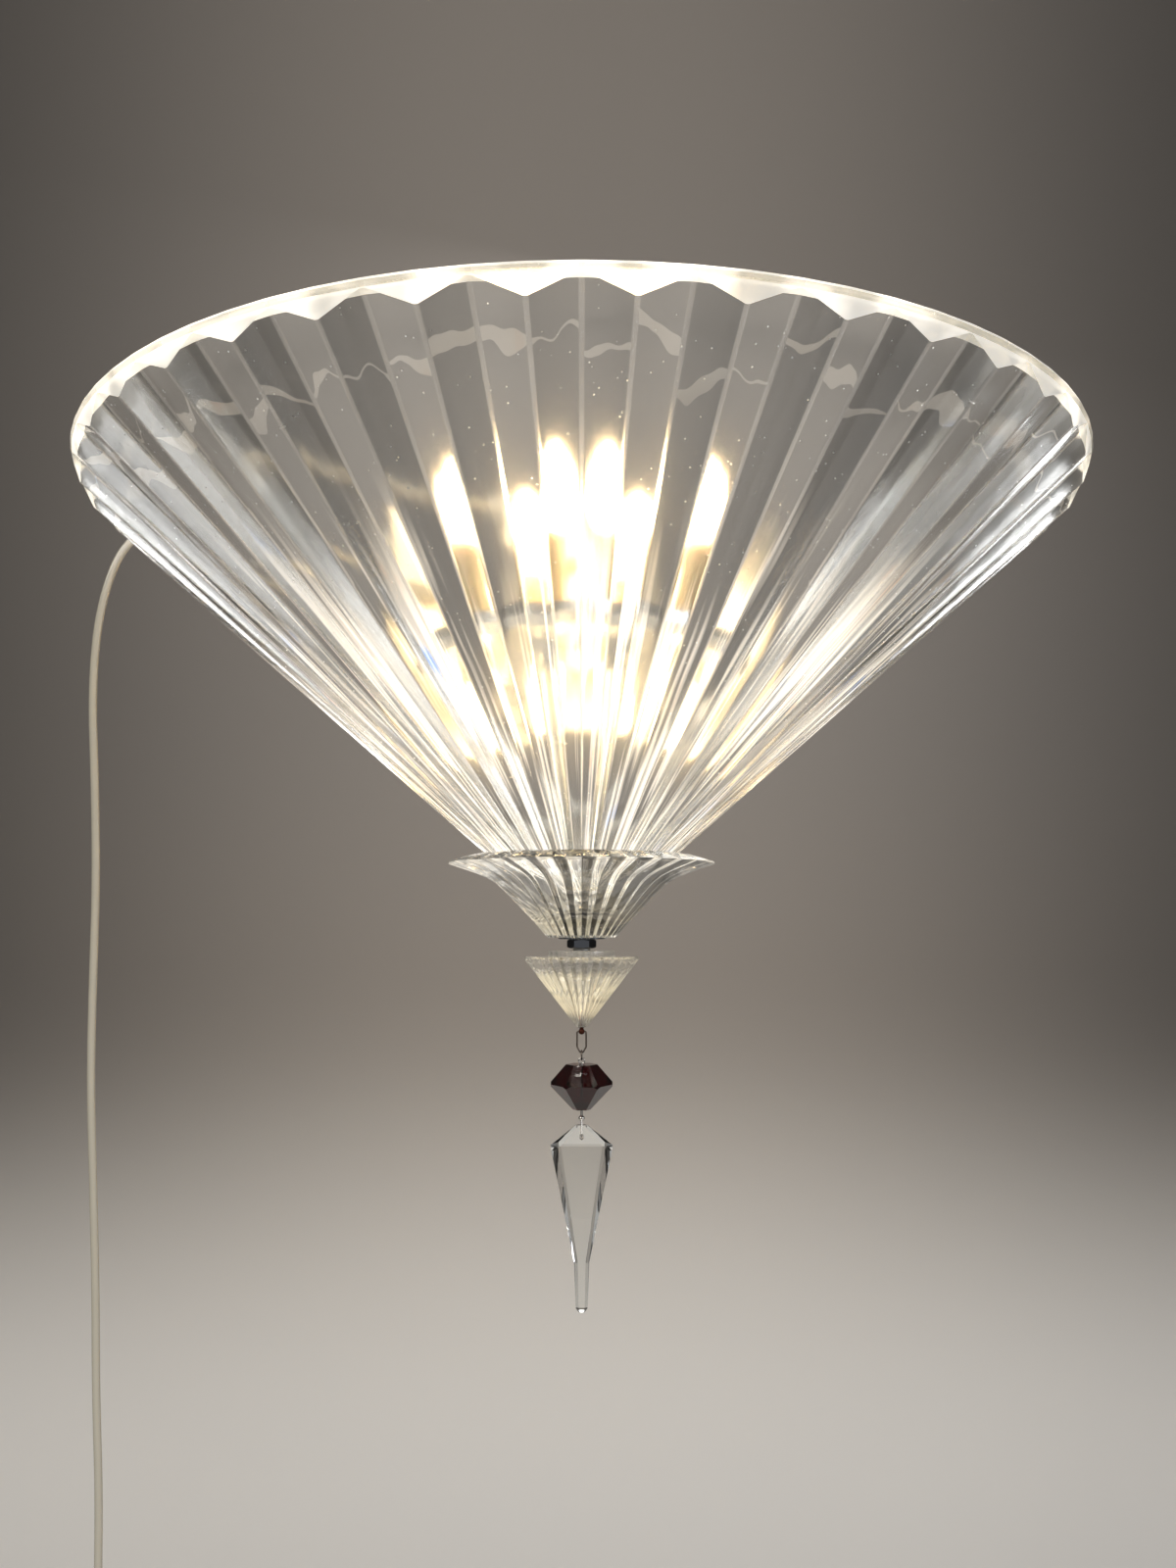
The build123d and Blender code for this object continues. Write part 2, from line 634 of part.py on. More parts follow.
def lower_dish():
    """A thick flared dish with a fluted underside and a well for the neck."""
    body = fluted(
        DISH_FLUTES,
        DISH_VALLEY_SHARE,
        [
            (DISH_BASE_R, DISH_BASE_Z),
            (DISH_KNEE_R, DISH_KNEE_Z),
            (DISH_FLARE_R, DISH_FLARE_Z),
            (DISH_TIP_R, DISH_TIP_Z),
        ],
    )
    crown = turned(
        [
            (0, DISH_TIP_Z),
            (DISH_TIP_R * DISH_VALLEY_SHARE - DISH_LIP_STEP, DISH_TIP_Z),
            (DISH_MOUTH_R, DISH_MOUTH_Z),
            (0, DISH_MOUTH_Z),
        ]
    )
    edge = DISH_MOUTH_R - DISH_LAND
    well = turned(
        [
            (0, DISH_WELL_Z),
            (DISH_WELL_R, DISH_WELL_Z),
            (edge - DISH_MOUTH_EASE, DISH_MOUTH_Z - DISH_MOUTH_EASE),
            (edge, DISH_MOUTH_Z),
            (edge, DISH_MOUTH_Z + PAST),
            (0, DISH_MOUTH_Z + PAST),
        ]
    )
    hole = tube(ROD_HOLE_R, 0, DISH_BASE_Z - PAST, DISH_WELL_Z + PAST)
    return AXIS * (body + crown - well - hole)


def small_cone():
    sections = [
        (CONE_TIP_R, CONE_TIP_Z),
        (CONE_TOP_R, CONE_TOP_Z - CONE_CHAMFER),
        (CONE_TOP_R - CONE_CHAMFER, CONE_TOP_Z),
    ]
    body = fluted(CONE_FLUTES, CONE_VALLEY_SHARE, sections)
    socket = tube(ROD_HOLE_R, 0, CONE_TOP_Z - CONE_SOCKET, CONE_TOP_Z + PAST)
    bore = tube(PIN_R + PIN_CLEAR, 0, CONE_TIP_Z - PAST, CONE_TOP_Z)
    return AXIS * (body - socket - bore)


def threaded_rod():
    low = CONE_TOP_Z - CONE_SOCKET + ROD_END_GAP
    rod = tube(ROD_R, ROD_BORE_R, low + ROD_PLUG, ROD_TOP_Z)
    foot = tube(ROD_R, 0, low, low + ROD_PLUG)
    return AXIS * (rod + foot)


def cone_pin():
    """A pin through the small cone, ending in a ball with a cross hole."""
    high = CONE_TOP_Z - CONE_SOCKET + ROD_END_GAP
    pin = tube(PIN_R, 0, CONE_TIP_Z - PIN_PROUD, high)
    neck = tube(PIN_NECK_R, 0, EYE_Z, CONE_TIP_Z)
    ball = Pos(0, 0, EYE_Z) * Sphere(EYE_R)
    hole = Pos(0, 0, EYE_Z) * Rot(0, 90, 0) * Cylinder(EYE_HOLE_R, 4 * EYE_R)
    return AXIS * (pin + neck + ball - hole)


# ------------------------------------------------------------------- pendant
def pendant_link():
    half = LINK_HALF
    points = [
        (-half, AXIS_Y, EYE_Z),
        (half, AXIS_Y, EYE_Z),
        (half, AXIS_Y, LINK_FOOT_Z + LINK_POINT),
        (LINK_FOOT_HALF, AXIS_Y, LINK_FOOT_Z),
        (-LINK_FOOT_HALF, AXIS_Y, LINK_FOOT_Z),
        (-half, AXIS_Y, LINK_FOOT_Z + LINK_POINT),
    ]
    return wire_loop(points, WIRE_R, LINK_CORNER)


def jump_ring():
    ring = Rot(0, 90, 0) * Torus(RING_R, WIRE_R)
    return Pos(0, AXIS_Y, RING_Z) * ring


def bead_planes():
    """(point, outward normal) of each facet, as the cutter's lap would set them.

    Six broad kites from the table to the girdle, six broad ones below it, and
    a pair of small breaks on each side of every girdle corner.
    """
    facets = []
    turn = 2 * math.pi / BEAD_SIDES
    flat = BEAD_R * math.cos(turn / 2)
    for i in range(BEAD_SIDES):
        angle = (i + 0.5) * turn
        out = Vector(math.cos(angle), math.sin(angle), 0)
        rise = BEAD_GIRDLE_DROP
        inset = flat - BEAD_TABLE_R
        crown = out * rise + Vector(0, 0, inset)
        facets.append((out * BEAD_TABLE_R + Vector(0, 0, BEAD_TOP_Z), crown))
        fall = BEAD_HEIGHT - BEAD_GIRDLE_DROP
        run = flat - BEAD_CULET_R
        pavilion = out * fall - Vector(0, 0, run)
        facets.append((out * BEAD_CULET_R + Vector(0, 0, BEAD_FOOT_Z), pavilion))
        corner = angle + turn / 2
        side = Vector(math.cos(corner), math.sin(corner), 0)
        facets.append((side * BEAD_BREAK_R + Vector(0, 0, GIRDLE_Z), side))
        above = side * BEAD_BREAK_R + Vector(0, 0, GIRDLE_Z + BEAD_BREAK_RISE)
        facets.append((above, side * rise + Vector(0, 0, inset * BEAD_BREAK_LEAN)))
    return facets


def cut_bead():
    """A hexagonal cut bead: a block that every facet's plane trims in turn."""
    body = tube(BEAD_R + PAST, 0, BEAD_FOOT_Z, BEAD_TOP_Z)
    for point, normal in bead_planes():
        body = split(body, bisect_by=Plane(origin=point, z_dir=normal), keep=Keep.BOTTOM)
    return AXIS * (body - tube(BEAD_HOLE_R, 0, BEAD_FOOT_Z - PAST, BEAD_TOP_Z + PAST))


def bead_pin():
    """A wire pin through the bead, with a loop above and a pierced ball below."""
    stem = tube(BEAD_HOLE_R - PIN_CLEAR, 0, HOOK_Z, LOOP_Z - LOOP_R + STEM_LAP)
    loop = Pos(0, 0, LOOP_Z) * Rot(90, 0, 0) * Torus(LOOP_R, WIRE_R)
    ball = Pos(0, 0, HOOK_Z) * Sphere(EYE_R)
    hole = Pos(0, 0, HOOK_Z) * Rot(90, 0, 0) * Cylinder(EYE_HOLE_R, 4 * EYE_R)
    return AXIS * (stem + loop + ball - hole)


def drop_hook():
    top = HOOK_TOP_HALF
    foot = HOOK_FOOT_HALF
    points = [
        (0, AXIS_Y - top, HOOK_Z),
        (0, AXIS_Y + top, HOOK_Z),
        (0, AXIS_Y + foot, DROP_HOLE_Z + HOOK_SQUARE),
        (0, AXIS_Y + foot, DROP_HOLE_Z),
        (0, AXIS_Y - foot, DROP_HOLE_Z),
        (0, AXIS_Y - foot, DROP_HOLE_Z + HOOK_SQUARE),
    ]
    return wire_loop(points, WIRE_R, HOOK_CORNER)


def drop_section(z, half, thick, bevel):
    """A level section of the drop: flat front and back, bevelled to thin edges."""
    flat = max(half - bevel, 0.4 * half)
    edge = min(DROP_EDGE, 0.5 * thick) / 2
    deep = thick / 2
    return make_face(
        Polyline(
            (half, edge, z),
            (flat, deep, z),
            (-flat, deep, z),
            (-half, edge, z),
            (-half, -edge, z),
            (-flat, -deep, z),
            (flat, -deep, z),
            (half, -edge, z),
            close=True,
        )
    )


def cut_drop():
    """A long spear prism with bevelled sides, a narrow tail and a blunt tip."""
    sections = [
        (DROP_TOP, DROP_TOP_HALF, DROP_TOP_THICK, DROP_TOP_BEVEL),
        (-DROP_SHOULDER, DROP_HALF_WIDTH, DROP_THICK, DROP_BEVEL),
        (-DROP_TAIL, DROP_TAIL_HALF, DROP_TAIL_THICK, DROP_TAIL_BEVEL),
        (DROP_TIP_RUN - DROP_LENGTH, DROP_TIP_HALF, DROP_TIP_THICK, DROP_TIP_BEVEL),
        (-DROP_LENGTH, DROP_TIP_HALF / 2, DROP_POINT_THICK, DROP_POINT_BEVEL),
    ]
    faces = [drop_section(DROP_HOLE_Z + z, h, t, b) for z, h, t, b in sections]
    hole = Pos(0, 0, DROP_HOLE_Z) * Rot(90, 0, 0) * Cylinder(DROP_HOLE_R, 2 * DROP_THICK)
    return AXIS * (loft(faces, ruled=True) - hole)


# ------------------------------------------------------------- cord and plug
def coil_ends():
    """The ends of the half turns, from the coil's middle: (x, layer)."""
    ends = [(-COIL_R, 0)]
    reach = COIL_R
    for i in range(COIL_IN):
        reach -= COIL_PITCH / 2
        ends.append((reach if i % 2 == 0 else -reach, 0))
    side = -1 if ends[-1][0] > 0 else 1
    ends.append((side * reach, 1))
    for _ in range(COIL_OUT):
        reach += COIL_PITCH / 2
        side = -side
        ends.append((side * reach, 1))
    return ends


COIL_X = CORD_ROUTE[-1][0] + COIL_R
COIL_Z = CORD_ROUTE[-1][2] - COIL_END


def coil_point(end):
    x, layer = end
    return Vector(COIL_X + x, CORD_Y - layer * COIL_LAYER, COIL_Z)


def coil_path():
    """Half circles, alternately below and above: in, up one layer, and out."""
    ends = [coil_point(e) for e in coil_ends()]
    edges = [Edge.make_line(ends[0] + Vector(0, 0, COIL_END), ends[0])]
    for i, (a, b) in enumerate(zip(ends, ends[1:])):
        down = -1 if i % 2 == 0 else 1
        middle = (a + b) / 2 + Vector(0, 0, down * (b - a).length / 2)
        edges.append(Edge.make_three_point_arc(a, middle, b))
    last = ends[-1]
    way = -1 if len(edges) % 2 else 1
    edges.append(Edge.make_line(last, last + Vector(0, 0, way * COIL_END)))
    return Wire(edges), edges


def cord_coil():
    path, edges = coil_path()
    start = Plane(origin=path @ 0.0, z_dir=path % 0.0)
    print("coil length", round(path.length, 1), "least gap", round(least_gap(edges), 2))
    return sweep(start * Circle(CORD_R), path=path), path.length


def least_gap(edges):
    """Least clear space between turns of the coil, on points along it."""
    spots = []
    run = 0.0
    for edge in edges:
        for i in range(24):
            spots.append((run + edge.length * i / 24, edge @ (i / 24)))
        run += edge.length
    least = math.inf
    for i, (a, here) in enumerate(spots):
        for b, there in spots[i + 1:]:
            if b - a > 6 * CORD_R:
                least = min(least, (there - here).length - 2 * CORD_R)
    return least


def cord_tie():
    """A strap round the turns at the coil's right side."""
    sides = [coil_point(e) for e in coil_ends() if e[0] > 0]
    reach = CORD_R + TIE_GAP
    low_x = min(p.X for p in sides) - reach
    high_x = max(p.X for p in sides) + reach
    low_y = min(p.Y for p in sides) - reach
    high_y = max(p.Y for p in sides) + reach
    z = COIL_Z
    half = TIE_WIDTH / 2
    t = TIE_THICK
    strap = block((low_x - t, low_y - t, z - half), (high_x + t, high_y + t, z + half))
    strap = fillet(strap.edges().filter_by(Axis.Z), CORD_R)
    room = block((low_x, low_y, z - half - PAST), (high_x, high_y, z + half + PAST))
    return strap - fillet(room.edges().filter_by(Axis.Z), CORD_R - t)


def coil_exit():
    """Where the coil's last straight end stops."""
    return coil_point(coil_ends()[-1]) - Vector(0, 0, COIL_END)


def cord_tail():
    start = coil_exit()
    straight, over = TAIL_BENDS
    points = [
        (start.X, start.Y, start.Z),
        (start.X, start.Y, start.Z - TAIL_RUN * straight),
        (start.X + TAIL_LEAN, start.Y, start.Z - TAIL_RUN * over),
        (start.X + TAIL_LEAN, start.Y, start.Z - TAIL_RUN),
    ]
    shape, length = cord_along(points, CORD_R, cord_radii(points))
    return shape, length, Vector(*points[-1])


def plug_parts(at):
    """Body and pins of a flat two-pin plug, hanging pins down from a point."""
    low = -PLUG_NECK - PLUG_LENGTH
    base = (Align.CENTER, Align.CENTER, Align.MIN)
    neck = Pos(0, 0, -PLUG_NECK) * Cone(PLUG_NECK_R, PLUG_MOUTH_R, PLUG_NECK, align=base)
    body = extrude(Pos(0, 0, low) * SlotOverall(PLUG_WIDTH, PLUG_THICK), PLUG_LENGTH)
    body = chamfer(body.edges().group_by(Axis.Z)[-1], PLUG_CHAMFER)
    pins = []
    for side in (-1, 1):
        pin = tube(PLUG_PIN_R, 0, low - PLUG_PIN, low)
        pin = fillet(pin.edges().group_by(Axis.Z)[0], 0.6 * PLUG_PIN_R)
        pins.append(Pos(side * PLUG_PIN_SPACING / 2, 0, 0) * pin)
    place = Pos(at.X, at.Y, at.Z)
    return place * (body + neck), place * Compound(pins)


# --------------------------------------------------------------- the whole
def make_fixing():
    parts["wall_plate"] = wall_plate()
    parts["support_arm"] = support_arm()
    parts["arm_screws"] = arm_screws()
    parts["terminal_cover"] = terminal_cover()
    parts["terminal_block"] = terminal_block()
    parts["terminal_liner"] = terminal_liner()
    parts["cable_gland"] = cable_gland()
    parts["feed_cable"] = feed_cable()
    parts["lamp_tray"] = lamp_tray()


def make_lamps():
    for i, (x, y) in enumerate(lamp_places(), 1):
        parts[f"candle_sleeve_{i}"] = candle_sleeve(x, y)
        parts[f"lamp_holder_{i}"] = lamp_holder(x, y)
        parts[f"bulb_cap_{i}"] = bulb_cap(x, y)
        parts[f"candle_bulb_{i}"] = candle_bulb(x, y)
    for i, (x, y) in enumerate(capsule_places(), 1):
        parts[f"capsule_holder_{i}"] = capsule_holder(x, y)
        parts[f"capsule_lamp_{i}"] = capsule_lamp(x, y)


def make_glass():
    parts["glass_shade"] = glass_shade()
    parts["lower_dish"] = lower_dish()
    parts["spacer_disc"] = AXIS * tube(DISC_R, ROD_HOLE_R, CONE_TOP_Z, DISC_TOP_Z)
    parts["small_cone"] = small_cone()
    floor = FLOOR_TOP_Z
    parts["inner_gasket"] = AXIS * tube(GASKET_R, ROD_HOLE_R, floor, floor + GASKET_THICK)
    floor += GASKET_THICK
    parts["inner_washer"] = AXIS * tube(WASHER_R, ROD_HOLE_R, floor, floor + WASHER_THICK)
    parts["inner_nut"] = AXIS * hex_nut(floor + WASHER_THICK)
    parts["neck_gasket"] = AXIS * tube(GASKET_R, ROD_HOLE_R, DISH_WELL_Z, SHADE_BASE_Z)
    parts["dish_washer"] = AXIS * tube(WASHER_R, ROD_HOLE_R, NUT_TOP_Z, DISH_BASE_Z)
    parts["dish_nut"] = AXIS * hex_nut(NUT_TOP_Z - NUT_HEIGHT)
    parts["threaded_rod"] = threaded_rod()
    tray_top = ARM_TOP_Z + TRAY_THICK
    parts["tray_washer"] = AXIS * tube(WASHER_R, ROD_HOLE_R, tray_top, tray_top + WASHER_THICK)
    parts["tray_nut"] = AXIS * hex_nut(tray_top + WASHER_THICK)
    parts["arm_nut"] = AXIS * hex_nut(ARM_TOP_Z - ARM_THICK - NUT_HEIGHT)


def make_pendant():
    parts["cone_pin"] = cone_pin()
    parts["pendant_link"] = pendant_link()
    parts["jump_ring"] = jump_ring()
    parts["cut_bead"] = cut_bead()
    parts["bead_pin"] = bead_pin()
    parts["drop_hook"] = drop_hook()
    parts["cut_drop"] = cut_drop()


def make_cord():
    radii = cord_radii(CORD_ROUTE)
    print("cord radii", [round(r, 1) for r in radii])
    lead, lead_length = cord_along(CORD_ROUTE, CORD_R, radii)
    coil, coil_length = cord_coil()
    tail, tail_length, tail_end = cord_tail()
    section = math.pi * CORD_R**2
    for name, shape, length in (
        ("cord_lead", lead, lead_length),
        ("cord_coil", coil, coil_length),
        ("cord_tail", tail, tail_length),
    ):
        parts[name] = shape
        print(name, "length", round(length, 1), "volume ratio",
              round(shape.volume / section / length, 4))
    print("whole cord", round(lead_length + coil_length + tail_length, 1))
    parts["cord_tie"] = cord_tie()
    parts["plug_body"], parts["plug_pins"] = plug_parts(tail_end)


make_fixing()
make_lamps()
make_glass()
make_pendant()
make_cord()

os.makedirs("parts", exist_ok=True)
for name, shape in parts.items():
    export_step(shape, f"parts/{name}.step")
print(len(parts), "parts")
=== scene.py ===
import math

import bmesh
import bpy
import numpy as np
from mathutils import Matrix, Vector


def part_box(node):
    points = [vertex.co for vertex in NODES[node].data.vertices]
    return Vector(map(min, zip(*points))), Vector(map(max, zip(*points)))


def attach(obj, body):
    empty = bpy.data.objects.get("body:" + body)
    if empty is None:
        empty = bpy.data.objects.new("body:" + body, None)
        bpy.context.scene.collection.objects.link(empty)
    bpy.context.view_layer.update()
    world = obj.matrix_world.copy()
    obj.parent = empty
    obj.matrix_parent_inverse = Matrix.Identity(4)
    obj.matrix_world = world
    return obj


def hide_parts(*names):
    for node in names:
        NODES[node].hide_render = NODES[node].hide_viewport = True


bl_info = {
    "name": "Crystal Wall Sconce",
    "version": (1, 0, 0),
    "blender": (4, 5, 0),
    "location": "3D View > Sidebar > Sconce",
    "description": "Dresses a fluted crystal wall light round its packed frame",
    "category": "Add Mesh",
}

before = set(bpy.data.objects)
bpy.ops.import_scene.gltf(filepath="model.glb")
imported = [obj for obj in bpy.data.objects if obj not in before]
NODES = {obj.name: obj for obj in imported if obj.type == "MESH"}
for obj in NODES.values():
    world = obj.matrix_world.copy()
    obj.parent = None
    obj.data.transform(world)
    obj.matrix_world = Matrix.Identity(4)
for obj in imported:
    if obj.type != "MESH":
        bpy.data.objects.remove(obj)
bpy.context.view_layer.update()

MM = 0.001
TURN = 2 * math.pi
ROOT = "fixture"


def low(name):
    """Lowest corner of a node's box, in metres."""
    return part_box(name)[0]


def high(name):
    """Highest corner of a node's box, in metres."""
    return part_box(name)[1]


def middle(name):
    """Middle of a node's box, in metres."""
    return (low(name) + high(name)) / 2


def span(name):
    """A round node's foot and top heights, its radius and its middle, in metres."""
    foot, top = low(name), high(name)
    return foot.z, top.z, (top.x - foot.x) / 2, (foot + top) / 2


# Heights and radii that the construction gives.
AXIS_Y = middle("threaded_rod").y
BORE_R = 5.2 * MM
RIM_TOP_Z = high("glass_shade").z
SHADE_BASE_Z = low("glass_shade").z
DISH_TOP_Z = high("lower_dish").z
DISH_BASE_Z = low("lower_dish").z
CONE_TOP_Z = high("small_cone").z
CONE_TIP_Z = low("small_cone").z

# The shade's own shape, as cut: see fluted_radius and shade_grid.
APEX_Z = -202.0 * MM
FLUTE_SLOPE = 0.878
FLUTES = 41
VALLEY = 0.98                  # the inner wall follows the valleys at this share
NOTCH = 0.976                  # the outside's valleys, cut a little deeper
FLUTE_ROWS, WALL_ROWS = 15, 22
SMALL_FLUTES = 30
CRYSTAL_IOR = 1.545
SHADE_WALL = 11.0 * MM
SHADE_FLOOR = 12.0 * MM
RIM_TOP_R = 263.0 * MM
RIM_BAND_R = 259.3 * MM
RIM_BAND_DROP = 11.5 * MM
RIM_CHAMFER = 1.2 * MM
RIM_LINE = 3.4 * MM
CREASE = 0.055                 # a crease's soft shoulder, as a share of half a flute
EASE, SMALL_EASE = 0.001, 0.004
BACK_CUT_Y = -1.0 * MM

# The camera, fitted to the photograph's frame of 1200 by 1600.
IMAGE_WIDTH, IMAGE_HEIGHT = 1200, 1600
FOCAL_PX = 1320.0
AXIS_PX = 593.5
HORIZON_PX = 948.4
CAMERA_Y = -0.794
CAMERA_Z = -0.197
SENSOR = 36.0

# The cord's route from the gland, in metres, as in the construction.
CORD_R = 2.5 * MM
CORD_Y = -3.4 * MM
NUDGED_Y = CORD_Y - 0.2 * MM
CORD_ROUTE = [
    (-0.0900, -0.0140, 0.0520), (-0.1100, -0.0140, 0.0520), (-0.1340, -0.0112, 0.0544),
    (-0.1610, -0.0058, 0.0576), (-0.1980, CORD_Y, 0.0602), (-0.2380, CORD_Y - 0.0003, 0.0594),
    (-0.2775, CORD_Y, 0.0440), (-0.2940, NUDGED_Y, 0.0040), (-0.2994, CORD_Y, -0.0480),
    (-0.2974, NUDGED_Y, -0.1060), (-0.2966, CORD_Y, -0.1680), (-0.2986, NUDGED_Y, -0.2280),
    (-0.3002, CORD_Y, -0.2900), (-0.2984, NUDGED_Y, -0.3540), (-0.2970, CORD_Y, -0.4180),
    (-0.2968, NUDGED_Y, -0.4800), (-0.2950, CORD_Y, -0.5400), (-0.2956, CORD_Y, -0.5940),
    (-0.2956, CORD_Y, -0.6400),
]
COIL_R = 35.0 * MM
COIL_PITCH = 6.2 * MM
COIL_LAYER = 5.8 * MM
COIL_CENTRE = (CORD_ROUTE[-1][0] + COIL_R, -0.6450)
COIL_IN, COIL_OUT = 3, 2
COIL_POINTS = 8
FLEX_SIDES = 28


# ------------------------------------------------------------------ settings
class SconceLook(bpy.types.PropertyGroup):
    """Colours and finishes that a user would change."""

    glass_tint: bpy.props.FloatVectorProperty(
        name="Glass tint", description="Body colour of the clear crystal",
        default=(0.960, 0.975, 0.965), size=3, min=0, max=1, subtype="COLOR")
    glass_wave: bpy.props.FloatProperty(
        name="Glass waviness", description="Height of the slow waves left by moulding",
        default=0.25, min=0, max=2, subtype="FACTOR")
    glass_haze: bpy.props.FloatProperty(
        name="Glass haze", description="Fine haze that spreads the lamps' glare",
        default=0.14, min=0, max=1, subtype="FACTOR")
    # Strength of the painted glow streaks and flow marks on the shade's crystal.
    painted_streak_glow: bpy.props.FloatProperty(
        name="Painted streak glow", description="Brightness of the streaks low in the shade",
        default=0.75, min=0)
    lamp_glow: bpy.props.FloatProperty(
        name="Lamp glow", description="Brightness of the lit lamps", default=46.0, min=0)
    bead_tint: bpy.props.FloatVectorProperty(
        name="Bead tint", description="Body colour of the red bead",
        default=(0.045, 0.0006, 0.002), size=3, min=0, max=1, subtype="COLOR")


class SconceStage(bpy.types.PropertyGroup):
    """Light and backdrop round the object."""

    backdrop_y: bpy.props.FloatProperty(
        name="Backdrop distance", description="How far the backdrop stands behind the wall face",
        default=1.75, unit="LENGTH")
    floor_z: bpy.props.FloatProperty(
        name="Floor height", description="Height of the floor under the object",
        default=-1.15, unit="LENGTH")
    key_watts: bpy.props.FloatProperty(
        name="Key light", description="Power of the large soft lamp", default=34.0, min=0)
    fill_watts: bpy.props.FloatProperty(
        name="Fill light", description="Power of the opposite lamp", default=14.0, min=0)


# ------------------------------------------------------------ mesh in arrays
SHARP_DEG = 24.0
MERGE = 2e-6


def put_back(work, mesh, sharp_deg=SHARP_DEG):
    """Puts a worked mesh back, smooth but for its sharp creases."""
    work.to_mesh(mesh)
    work.free()
    mesh.shade_smooth()
    mesh.set_sharp_from_angle(angle=math.radians(sharp_deg))


def finish_mesh(name, points, faces, sharp_deg=SHARP_DEG):
    """A closed mesh from points and faces: doubles merged, normals outwards, creases sharp."""
    mesh = bpy.data.meshes.new(name)
    mesh.from_pydata(points, [], faces)
    work = bmesh.new()
    work.from_mesh(mesh)
    bmesh.ops.remove_doubles(work, verts=work.verts, dist=MERGE)
    bmesh.ops.dissolve_degenerate(work, edges=work.edges, dist=MERGE)
    bmesh.ops.recalc_face_normals(work, faces=work.faces)
    put_back(work, mesh, sharp_deg)
    thing = bpy.data.objects.new(name, mesh)
    bpy.context.scene.collection.objects.link(thing)
    return thing


def grid_faces(rows, columns, wrap_rows, wrap_columns):
    """Quads of a grid of rows by columns, joined at the ends where asked."""
    j = np.arange(rows if wrap_rows else rows - 1)
    i = np.arange(columns if wrap_columns else columns - 1)
    jj, ii = np.meshgrid(j, i, indexing="ij")
    down, right = (jj + 1) % rows, (ii + 1) % columns
    quads = np.stack(
        [jj * columns + ii, jj * columns + right, down * columns + right, down * columns + ii], -1)
    return quads.reshape(-1, 4).tolist()


def grid_mesh(name, grid, wrap_rows=False, wrap_columns=False, **keep):
    """A mesh from an array of rows x columns x 3."""
    rows, columns = grid.shape[:2]
    faces = grid_faces(rows, columns, wrap_rows, wrap_columns)
    return finish_mesh(name, grid.reshape(-1, 3).tolist(), faces, **keep)


def around(radius, height, angle, centre=(0.0, None)):
    """Points at a radius and height round an upright axis; angle 0 faces the front."""
    x = centre[0] + radius * np.sin(angle)
    y = (AXIS_Y if centre[1] is None else centre[1]) - radius * np.cos(angle)
    return np.stack([x, y, np.broadcast_to(height, x.shape)], -1)


def stacked(angle, rows, centre=(0.0, None)):
    """Rings one over another: each row's (radius, height) is a number or follows the angle."""
    radius = np.stack([r + 0 * angle for r, _ in rows])
    height = np.stack([z + 0 * angle for _, z in rows])
    return around(radius, height, angle, centre)


def turned(name, profile, columns=72, centre=(0.0, None), **keep):
    """A surface of revolution: every (radius, height) of a closed profile goes once round."""
    angle = np.linspace(0, TURN, columns, endpoint=False)
    grid = stacked(angle, profile, centre)
    return grid_mesh(name, grid, wrap_columns=True, wrap_rows=True, **keep)


def bend(centre, radius, start_deg, end_deg, count):
    """Points of an arc in the profile's plane: centre plus radius times cosine and sine."""
    t = np.radians(np.linspace(start_deg, end_deg, count))
    return list(zip(centre[0] + radius * np.cos(t), centre[1] + radius * np.sin(t)))


def swept(name, path, section, up, closed=False, **keep):
    """A section carried along a path: each ring stands square to the path's own direction."""
    path = np.array(path, float)
    if closed:
        ahead = np.roll(path, -1, 0) - np.roll(path, 1, 0)
    else:
        ahead = np.gradient(path, axis=0)
    ahead /= np.linalg.norm(ahead, axis=1)[:, None]
    side = np.cross(ahead, np.array(up, float))
    side /= np.linalg.norm(side, axis=1)[:, None]
    top = np.cross(side, ahead)
    section = np.array(section, float)
    grid = (path[:, None] + side[:, None] * section[None, :, :1]
            + top[:, None] * section[None, :, 1:])
    if closed:
        return grid_mesh(name, grid, wrap_rows=True, wrap_columns=True, **keep)
    ends = [np.repeat(path[k][None, None], len(section), 1) for k in (0, -1)]
    grid = np.concatenate([ends[0], grid, ends[1]], 0)
    return grid_mesh(name, grid, wrap_columns=True, **keep)


def circle(radius, count):
    """A round section: radius times cosine and sine of equal steps."""
    t = np.linspace(0, TURN, count, endpoint=False)
    return np.stack([radius * np.cos(t), radius * np.sin(t)], -1)


def fluted_radius(angle, flutes, valley):
    """Flat-faced flutes: 1 on a ridge, valley between, joined by a straight chord in plan."""
    step = math.pi / flutes
    a = np.abs((angle / step + 1) % 2 - 1) * step
    return valley * math.sin(step) / (valley * np.sin(a) + np.sin(step - a))


def flute_angles(flutes, soft):
    """Column angles for every flute: the creases, their softened shoulders and the facets."""
    step = math.pi / flutes
    near = 1.5 * soft
    local = np.array([0, soft, near, 1 - near, 1 - soft, 1, 1 + soft, 1 + near, 2 - near, 2 - soft])
    return (np.arange(flutes)[:, None] * 2 * step + local[None] * step).ravel()


def softened(angle, flutes, valley, soft, ease):
    """Flutes whose creases are eased: a ridge is drawn in and a valley filled by ease."""
    step = math.pi / flutes
    plain = fluted_radius(angle, flutes, valley)
    a = np.abs((angle / step + 1) % 2 - 1)
    crest = np.clip((a - 1) / soft + 1, 0, 1)
    trough = np.clip(1 - a / soft, 0, 1)
    return plain - ease * crest + ease * trough


# ----------------------------------------------------------------- materials
def linear(colour):
    """sRGB hex to linear RGBA."""
    value = int(colour.lstrip("#"), 16)
    parts = [(value >> s & 255) / 255 for s in (16, 8, 0)]
    return (*(c / 12.92 if c <= 0.04045 else ((c + 0.055) / 1.055) ** 2.4 for c in parts), 1.0)


